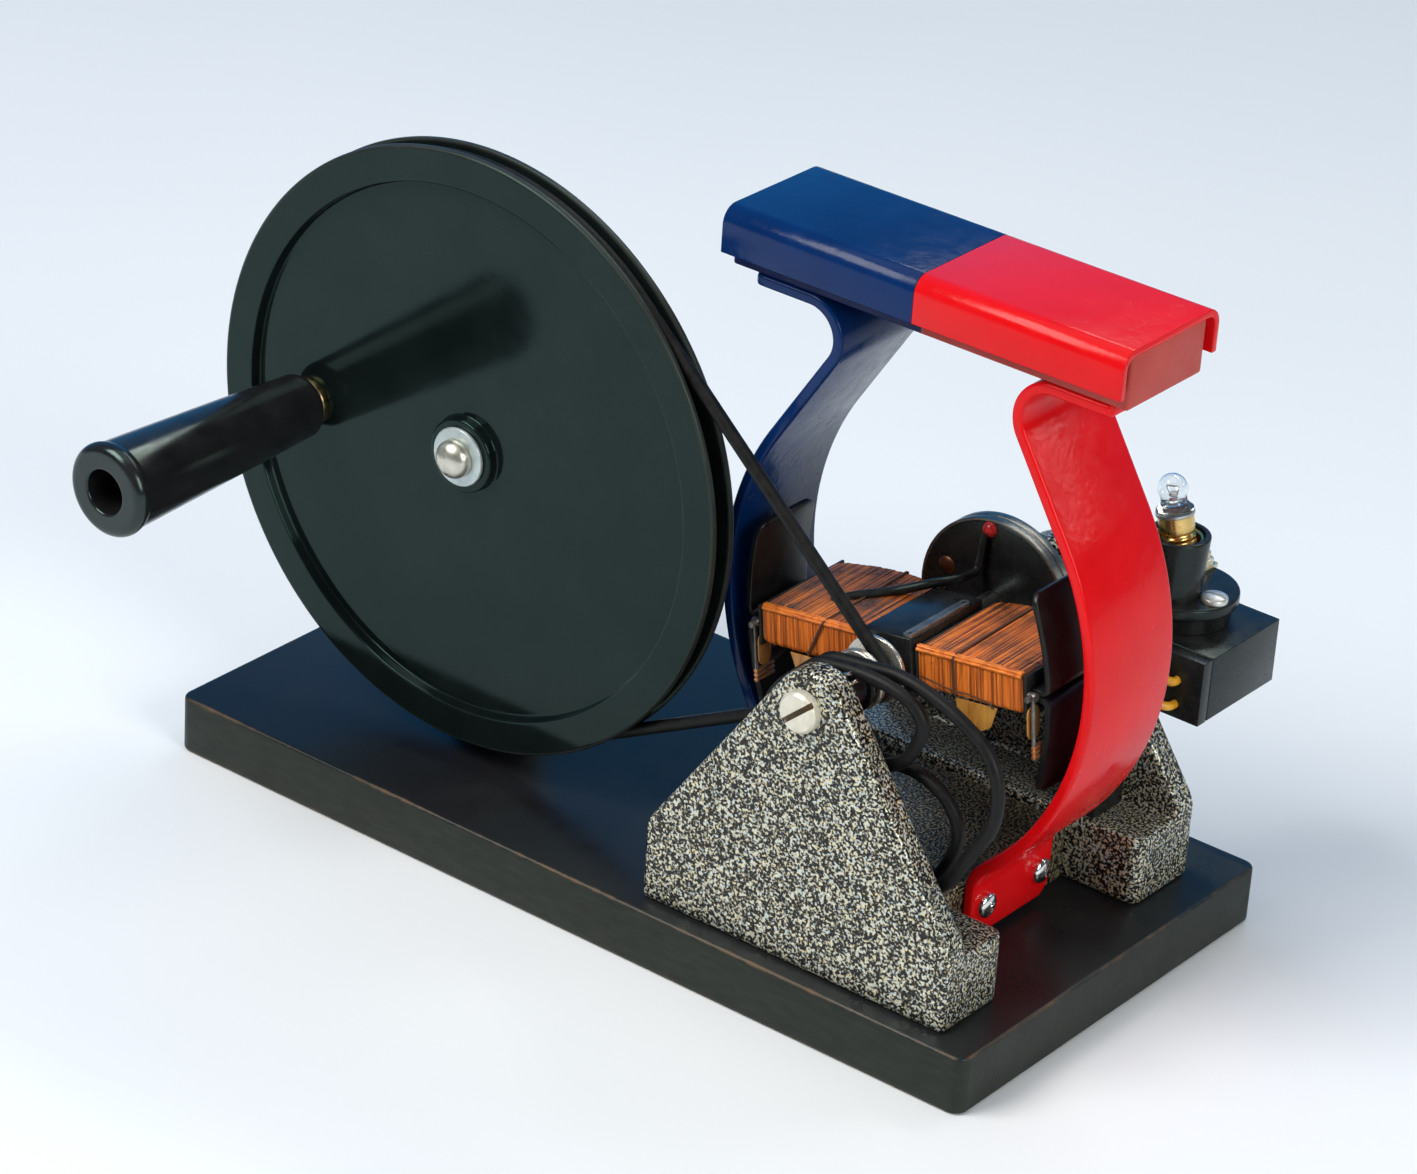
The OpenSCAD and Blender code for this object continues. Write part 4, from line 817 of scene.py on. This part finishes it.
def strip(name, side, mat):
    pts = [Vector(p) for p in centre]
    run = [0.0]
    for a, b in zip(pts, pts[1:]):
        run.append(run[-1] + (b - a).length)
    total = run[-1]
    er, bm, rings = 0.85, bmesh.new(), []
    mid, half = (STRIP_Y0 + STRIP_Y1) / 2, (STRIP_Y1 - STRIP_Y0) / 2
    stations = []
    for i, p in enumerate(pts):
        t = (pts[min(i + 1, len(pts) - 1)] - pts[max(i - 1, 0)]).normalized()
        stations.append((p, t, run[i]))
    # extra stations close the two ends with rounded corners
    first, last = stations[0], stations[-1]
    extra0 = [(first[0] + first[1] * s, first[1], s) for s in (0.08, 0.3, 0.7, 1.2, 1.8, 2.5, 3.3)]
    extra1 = [(last[0] - last[1] * s, last[1], total - s) for s in (1.2, 0.7, 0.35, 0.1)]
    stations = [first] + extra0 + [s for s in stations[1:-1] if 3.4 < s[2] < total - 1.3] + extra1 + [last]
    for p, t, s in stations:
        n = Vector((t.y, -t.x))
        r_foot, r_top = 6.0, 2.0
        w = half
        if s < r_foot:
            w -= r_foot - math.sqrt(max(0.0, r_foot ** 2 - (r_foot - s) ** 2))
        if total - s < r_top:
            w -= r_top - math.sqrt(max(0.0, r_top ** 2 - (r_top - (total - s)) ** 2))
        th = H
        end = min(s, total - s)
        if end < 0.7:
            th -= 0.7 - math.sqrt(max(0.0, 0.7 ** 2 - (0.7 - end) ** 2))
        e = min(er, th)
        ring = []
        for (sy, st, a0) in ((1, 1, 0), (-1, 1, 90), (-1, -1, 180), (1, -1, 270)):
            for k in range(5):
                a = math.radians(a0 + 90 * k / 4)
                yy = sy * (w - e) + e * math.cos(a)
                tt = st * (th - e) + e * math.sin(a)
                uz = p + n * tt
                ring.append(bm.verts.new((AX + side * uz.x, mid + yy, uz.y)))
        rings.append(ring)
    m = len(rings[0])
    for a, b in zip(rings, rings[1:]):
        for k in range(m):
            j = (k + 1) % m
            bm.faces.new((a[k], a[j], b[j], b[k]))
    bm.faces.new(rings[0])
    bm.faces.new(rings[-1])
    return finish_mesh(name, bm, mat, 60)


place(strip("blue_strip", -1, BLUE), "south_pole_strip")
place(strip("red_strip", 1, RED), "north_pole_strip")
place(refined("pole_strip_screws", BRIGHT, 0.1, angle=50), "pole_strip_screws")


# ------------------------------------------------------------------ magnet and its covers
def cover(name, x0, x1, mat):
    prof = [(-25.2, 172.4)] + arc((-20.7, 179.5), 4.5, 180, 90, 14) + arc((9.3, 179.5), 4.5, 90, 0, 14) + \
        [(13.8, 172.4), (12, 172.4)] + arc((9.3, 179.5), 2.7, 0, 90, 8) + arc((-20.7, 179.5), 2.7, 90, 180, 8) + [(-23.4, 172.4)]
    bm = bmesh.new()
    prism_into(bm, prof, "yz", x0, x1, 0.22, 2, 40)
    return finish_mesh(name, bm, mat, 50)


place(cover("blue_cover", MAG_X0, MAG_XM, BLUE), "magnet_cover_south")
place(cover("red_cover", MAG_XM, MAG_X1, RED), "magnet_cover_north")
place(refined("magnet_bar", MAGNET, 0.7, 3), "magnet_bar")

# ------------------------------------------------------------------ armature
place(refined("rotor_shaft", STEEL, 0.4), "rotor_shaft")
bm = bmesh.new()
pul = rounded([(3.02, -36.9), (7.5, -36.9), (7.5, -34.9), (4.2, BELT_Y - 1.95), (4.2, BELT_Y + 1.95), (8.5, -29.6), (8.5, -28.2), (3.02, -28.2)],
              [0.2, 0.6, 0.3, 0.5, 0.5, 0.3, 0.5, 0.2], 4)
lathe_into(bm, held(pul, 0.25), 96, matrix=ROTOR)
place(finish_mesh("pulley", bm, TURNED, 45), "drive_pulley")
place(refined("core_strap_upper", IRON, 0.28, 2, 50), "core_strap_upper")
place(refined("core_strap_lower", IRON, 0.28, 2, 50), "core_strap_lower")
place(refined("rotor_hub", MOULDED, 0.35, 2), "rotor_hub")
place(refined("hub_clip", TAG, 0.15), "hub_clip")
place(refined("coil_cheeks", FIBRE, 0.25), "coil_cheeks")
place(refined("insulation_paper", PAPER, 0.1), "insulation_paper")
tags = refined("coil_tags", [TAG, BARECOPPER], 0.12, angle=50)
for f in tags.data.polygons:
    f.material_index = 1 if (ROTOR_INV @ (f.center / MM)).z < -11.7 else 0
place(tags, "coil_tags")


def coil(name, side):
    """A wound coil: a core of wire, its outer layer turn by turn, a lip of wire along the top front edge and a tie of thread."""
    bm = bmesh.new()
    y0, u0, u1 = -23.4, 8.2, 38.4
    w, inset = 0.18, 0.36

    def back(u):
        return 8.6 + 2.4 * math.sin(math.pi * min(1.0, 0.12 + (u - u0) / (u1 - u0) * 0.88))

    def swell(u, y):
        return 0.95 * max(0.0, min(1.0, (y - y0 - 3.0) / 22.0)) * (0.45 + 0.55 * math.sin(math.pi * (u - u0) / (u1 - u0)))

    cuts = [u0 + 0.1 + (u1 - u0 - 0.2) * i / 12 for i in range(13)]
    rings = []
    tmp = bmesh.new()
    for u in cuts:
        yb = back(u) - inset
        ring = rounded([(y0 + inset, -COIL_H + inset), (yb, -COIL_H + inset), (yb, COIL_H - inset), (y0 + inset, COIL_H - inset)], 1.6, 5)
        rings.append([tmp.verts.new((side * u, yy, zz + (swell(u, yy) if zz > 0 else 0.0) + 0.3)) for yy, zz in ring])
    for p, q in zip(rings, rings[1:]):
        for k in range(len(p)):
            j = (k + 1) % len(p)
            tmp.faces.new((p[k], p[j], q[j], q[k]))
    tmp.faces.new(rings[0])
    tmp.faces.new(rings[-1])
    join(bm, tmp, 0)
    # outer turns
    turns = int((u1 - u0 - 2 * w) / (2 * w))
    pts, lift, drift = [], 0.0, 0.0
    for k in range(turns):
        lift = 0.55 * lift + rng.uniform(-0.07, 0.07)
        drift = 0.5 * drift + rng.uniform(-0.05, 0.05)
        u = u0 + w + 0.02 + (u1 - u0 - 2 * w - 0.04) * (k + 0.5) / turns + drift
        edge = min(1.0, (min(u - u0, u1 - u)) / 1.6)
        off = min(0.26 + w * 0.4 - 0.3 * (1 - edge) ** 1.6 + max(-0.12, min(0.08, lift)), 0.36)
        hz = COIL_H - inset + off - w
        ya, yb = y0 + inset - off + w, back(u) - inset + off - w
        loop = rounded([(ya, -hz), (yb, -hz), (yb, hz), (ya, hz)], 1.5, 7)
        for i, (yy, zz) in enumerate(loop):
            uu = u + (u1 - u0 - 2 * w) / turns * (i / len(loop) - 0.5)
            pts.append((side * max(u0 + w, min(u1 - w, uu)), yy, zz + 0.3 + (swell(u, yy) if zz > 0 else 0.0)))
    tmp = bmesh.new()
    tube_into(tmp, pts, w, 6, ref=(1, 0, 0))
    join(bm, tmp, 0)
    # the lip where the last layer folds over the top front edge
    for dy, dw, r in ((0.1, -0.35, 0.5), (0.6, 0.25, 0.5), (1.35, 0.3, 0.36)):
        run = [(side * (u0 + 0.1 + (u1 - u0 - 0.5) * i / 36), y0 + dy - 0.5 * max(0.0, 1 - i / 5) + rng.uniform(-0.035, 0.035), COIL_H + dw + 0.35 * max(0.0, 1 - i / 5) + rng.uniform(-0.05, 0.05)) for i in range(37)]
        tmp = bmesh.new()
        tube_into(tmp, smooth_path(run, 3), r, 10, ref=(0, 0, 1))
        join(bm, tmp, 2)
    # tie thread round the coil, laid a little askew
    lean = 0.3 if side > 0 else -5.5
    mid = 18.6 if side > 0 else 23.5
    for shift in (0.0, 0.34):
        loop = rounded([(y0 - 0.1, -COIL_H + 0.25), (back(mid) - 0.1, -COIL_H + 0.25), (back(mid) - 0.1, COIL_H + 0.55), (y0 - 0.45, COIL_H + 0.55)], 1.3, 7)
        tie = []
        for yy, zz in loop:
            uu = mid + shift + (lean * (yy - y0) / (back(mid) - y0) if side > 0 else lean * (0.25 + zz / (2 * COIL_H)))
            tie.append((side * uu, yy, zz + (swell(mid, yy) if zz > 0 else 0.0)))
        tmp = bmesh.new()
        tube_into(tmp, tie, 0.2, 6, closed=True, ref=(1, 0, 0))
        join(bm, tmp, 1)
    if side > 0:
        run = [(9.2, y0 - 0.02, -1.7), (12.5, y0 - 0.06, -2.3), (16, y0 - 0.06, -2.9), (18.8, y0 - 0.14, -3.2), (22.5, y0 - 0.08, -3.1), (26.5, y0 - 0.06, -3.6),
               (28.9, y0 - 0.06, -4.0), (29.6, y0 - 0.02, -5.1), (29.5, y0 + 1.2, -5.5)]
        tmp = bmesh.new()
        tube_into(tmp, smooth_path(run, 6), 0.2, 6, ref=(0, 1, 0))
        join(bm, tmp, 1)
    return finish_mesh(name, bm, [WIRE, THREAD, LIP], 70, ROTOR)


place(coil("wound_coil_left", -1), "coil_left")
place(coil("wound_coil_right", 1), "coil_right")

bm = bmesh.new()
disc = rounded([(3.02, DISC_Y), (RING_R - 0.72, DISC_Y), (RING_R - 0.72, DISC_Y + DISC_T), (7, DISC_Y + DISC_T), (7, DISC_Y + 9), (3.02, DISC_Y + 9)],
               [0.2, 0.35, 0.35, 0.4, 0.4, 0.2], 4)
lathe_into(bm, disc, 128, matrix=ROTOR)
place(finish_mesh("ring_disc", bm, MOULDED, 45), "slip_ring_disc")
bm = bmesh.new()
band = rounded([(RING_R - 0.7, DISC_Y + 0.2), (RING_R, DISC_Y + 0.2), (RING_R, DISC_Y + 2.3), (RING_R - 0.3, DISC_Y + 2.45), (RING_R - 0.3, DISC_Y + 2.95),
                (RING_R, DISC_Y + 3.1), (RING_R, DISC_Y + 5.2), (RING_R - 0.7, DISC_Y + 5.2)], [0, 0.2, 0.1, 0.05, 0.05, 0.1, 0.2, 0], 3)
lathe_into(bm, band, 128, matrix=ROTOR)
place(finish_mesh("ring_band", bm, RINGMETAL, 45), "slip_ring")
place(refined("ring_rivet", COPPER, 0.2), "ring_rivet")
place(refined("ring_joint", WAX, 0.0, smooth=60), "ring_joint")
LEAD = [(-25.6, -12, 4.9), (-21.5, -8.1, 6.3), (-14.5, -1.5, 6.8), (-7.4, 2.9, 8.7), (-3.9, 9, 8.5), (-3.1, 13.5, 8.3), (-2.6, 16, 9.2), (-1.9, 16.9, 12.8), (-1.4, 17, 16), (-0.7, 17.4, 18.4)]
bm = bmesh.new()
tube_into(bm, smooth_path(LEAD, 10), lambda t: 1.2 - 0.55 * max(0.0, t - 0.3), 12, matrix=ROTOR)
place(finish_mesh("ring_lead", bm, SLEEVE, 60), "rotor_lead")

# ------------------------------------------------------------------ brush gear and lamp
place(refined("brush_post", MOULDED, 0.5, 3), "brush_post")
place(refined("brush_spring", BRASS, 0.12), "brush_spring")
place(refined("brush_screws", BRASS, 0.12), "brush_screws")
place(refined("lamp_block_plate", MOULDED, 0.35, 3), "lamp_block_plate")
place(refined("lamp_block", MOULDED, 0.55, 3), "lamp_block")
place(refined("lamp_block_screws", STEEL, 0.15), "lamp_block_screws")

bm = bmesh.new()
foot = rounded([(0, 0), (12.4, 0), (12.4, 4.7), (14, 4.7), (14, 7.7), (0, 7.7)], [0, 0.4, 0.5, 0.5, 0.7, 0], 5)
lathe_into(bm, [(r, h + 73.6) for r, h in foot], 96, (92.9, 65.1), axis="Z", closed=False)
coll = rounded([(6.95, 7.4), (8.0, 24.0), (6.4, 24.0), (6.4, 10.4), (3.0, 10.4), (3.0, 7.4)], [0, 0.55, 0.35, 0.2, 0, 0], 4)
lathe_into(bm, [(r, h + 73.6) for r, h in coll], 72, (LAMP_X, LAMP_Y), axis="Z")
place(finish_mesh("lamp_socket", bm, MOULDED, 45), "lamp_holder")


def thread_prof(r0, r1, z0, z1, pitch, n=8):
    out, turns = [], int((z1 - z0) / pitch)
    for k in range(turns * n + 1):
        z = z0 + (z1 - z0) * k / (turns * n)
        out.append((r0 + (r1 - r0) * 0.5 * (1 - math.cos(2 * math.pi * turns * k / (turns * n))), z))
    return out


bm = bmesh.new()
shell = [(0.9, 84.0), (6.1, 84.0), (6.3, 84.3), (6.3, 96.4), (6.0, 96.85)] + list(reversed(thread_prof(5.45, 5.75, 85.2, 96.5, 1.9))) + [(5.6, 84.8), (0.9, 84.8)]
lathe_into(bm, shell, 64, (LAMP_X, LAMP_Y), axis="Z")
place(finish_mesh("socket_shell", bm, BRASS, 40), "lamp_shell")
place(refined("lamp_terminal_screw", SCREWHEAD, 0.14), "lamp_terminal_screw")
place(refined("lamp_terminal_tab", PALEBRASS, 0.12), "lamp_terminal_tab")
bm = bmesh.new()
capp = [(0, -5.6), (1.2, -5.55), (1.6, -5.3), (1.8, -4.7), (3.9, -3.8), (4.25, -3.2)] + thread_prof(4.2, 4.6, -2.6, 2.5, 1.7) + \
    [(4.4, 2.9), (4.5, 3.4), (4.55, 6.6), (4.6, 7.0), (4.9, 7.25), (4.9, 7.9), (4.2, 7.95), (4.1, 6.4), (4.0, -2.3), (0, -2.4)]
lathe_into(bm, capp, 64, axis="Z", matrix=BULB, closed=False)
cap_obj = finish_mesh("screw_cap", bm, [BRASS, STEEL], 40)
BULB_INV = BULB.inverted()
for f in cap_obj.data.polygons:
    f.material_index = 1 if (BULB_INV @ (f.center / MM)).z > 6.95 else 0
place(cap_obj, "bulb_cap")
bm = bmesh.new()
outer = [(0, 6.3), (3.9, 6.3), (3.98, 8.0), (4.7, 8.05), (4.88, 8.5), (4.7, 9.1), (4.0, 9.7), (3.3, 10.6)] + arc((0, 13.9), 3.85, -36, 90, 22)[1:-1] + [(0, 17.75)]
inner = [(0, 17.5)] + list(reversed(arc((0, 13.9), 3.6, -36, 90, 22)[1:-1])) + [(2.9, 10.8), (3.2, 9.9), (1.7, 9.8), (1.25, 10.4), (1.1, 11.3), (0, 11.5)]
lathe_into(bm, outer + inner, 64, axis="Z", matrix=BULB, closed=False)
bulb = finish_mesh("bulb", bm, GLASS, 60)
skin = 2 + (len(outer) - 2) * 64
for f in bulb.data.polygons:
    if min(f.vertices) >= skin:
        f.flip()   # the inner wall faces the hollow, so the bulb is a thin shell
bulb.data.update()
place(bulb, "bulb_glass")
bm = bmesh.new()
for s in (-1, 1):
    tube_into(bm, [Vector((s * 0.9, 0, 11.6)), Vector((s * 1.1, 0, 12.3)), Vector((s * 1.6, 0, 13.6)), Vector((s * 1.75, 0, 14.5))], 0.14, 8, matrix=BULB)
helix = [Vector((-1.7 + 3.4 * i / 140, 0.16 * math.cos(i * 0.9), 14.5 + 0.16 * math.sin(i * 0.9))) for i in range(141)]
tube_into(bm, helix, 0.05, 5, matrix=BULB)
tmp = bmesh.new()
lathe_into(tmp, [(0, 11.75), (0.7, 11.85), (1.15, 12.2), (1.2, 12.6), (0.8, 13.0), (0, 13.15)], 32, axis="Z", matrix=BULB, closed=False)
join(bm, tmp, 1)
place(finish_mesh("filament", bm, [RINGMETAL, BEAD], 60), "bulb_filament")
LEADS = [[(94.8, 36.9, 70), (94.8, 38.4, 70), (98.8, 40, 69.7), (102.5, 41.8, 68.4), (105, 44.2, 66.8), (105.2, 47.4, 66.5)],
         [(98.1, 36.9, 63.5), (98.1, 38.4, 63.5), (100.4, 39.9, 62.6), (102.8, 41.7, 61), (105, 44.2, 60), (105.2, 47.4, 60)]]
bm = bmesh.new()
for route in LEADS:
    tube_into(bm, smooth_path(route, 8), 1.13, 12, ref=(0, 0, 1))
place(finish_mesh("amber_leads", bm, AMBER, 60), "lamp_leads")

# ------------------------------------------------------------------ stage and light
bm = bmesh.new()
bmesh.ops.create_grid(bm, x_segments=8, y_segments=8, size=6000)
floor_m = Mat("floor_pale", colour=(0.82, 0.85, 0.88), rough=0.6)
floor_m.set("Base Color", floor_m.mix(floor_m.span(floor_m.noise(3, 2), 0.3, 0.7, 0, 1), (0.80, 0.83, 0.86), (0.84, 0.865, 0.89)))
floor = finish_mesh("floor", bm, floor_m.m)
floor.location.z = -0.0002

world = bpy.data.worlds.new("studio")
scene.world = world
world.use_nodes = True
wn = world.node_tree
bg = wn.nodes["Background"]
tc = wn.nodes.new("ShaderNodeTexCoord")
# a pale blue backdrop behind the object, a dim room on the viewer's side
dot = wn.nodes.new("ShaderNodeVectorMath")
dot.operation = "DOT_PRODUCT"
dot.inputs[1].default_value = (-0.597, 0.802, 0.0)
wn.links.new(tc.outputs["Generated"], dot.inputs[0])
fit = wn.nodes.new("ShaderNodeMapRange")
wn.links.new(dot.outputs["Value"], fit.inputs["Value"])
fit.inputs["From Min"].default_value = -1.0
rp = wn.nodes.new("ShaderNodeValToRGB")
wn.links.new(fit.outputs[0], rp.inputs[0])
els = rp.color_ramp.elements
els[0].position, els[0].color = 0.0, (0.10, 0.115, 0.12, 1)
els[1].position, els[1].color = 1.0, (0.05, 0.36, 0.86, 1)
for pos, c in ((0.45, (0.10, 0.115, 0.125)), (0.62, (0.10, 0.14, 0.18)), (0.78, (0.06, 0.30, 0.66))):
    e = els.new(pos)
    e.color = (*c, 1)
wn.links.new(rp.outputs[0], bg.inputs["Color"])
bg.inputs["Strength"].default_value = 0.75


def area(name, loc, target, size, power, colour=(1, 1, 1), size_y=None):
    light = bpy.data.lights.new(name, "AREA")
    light.energy = power
    light.color = colour
    light.size = size
    if size_y:
        light.shape = "RECTANGLE"
        light.size_y = size_y
    o = bpy.data.objects.new(name, light)
    scene.collection.objects.link(o)
    o.location = loc
    o.rotation_euler = (Vector(target) - Vector(loc)).to_track_quat("-Z", "Y").to_euler()
    return o


area("key", (-0.55, -0.95, 1.3), (0, 0, 0.06), 0.9, 25, (1.0, 0.98, 0.95))
area("top", (-0.1, 0.05, 1.5), (0, 0, 0.05), 1.0, 3, (1.0, 1.0, 1.0))
area("rear", (1.35, 1.45, 0.80), (0.07, 0, 0.13), 0.6, 1.6, (0.97, 1.0, 1.0), 0.16)
area("back", (0.05, 0.87, 1.14), (-0.03, -0.05, 0.1), 1.0, 4.2, (1.0, 0.95, 0.84), 0.12)
area("side", (1.3, -0.35, 0.72), (0.05, 0, 0.08), 0.7, 10, (1.0, 1.0, 0.95))
scene.view_settings.view_transform = "Standard"
scene.view_settings.look = "None"
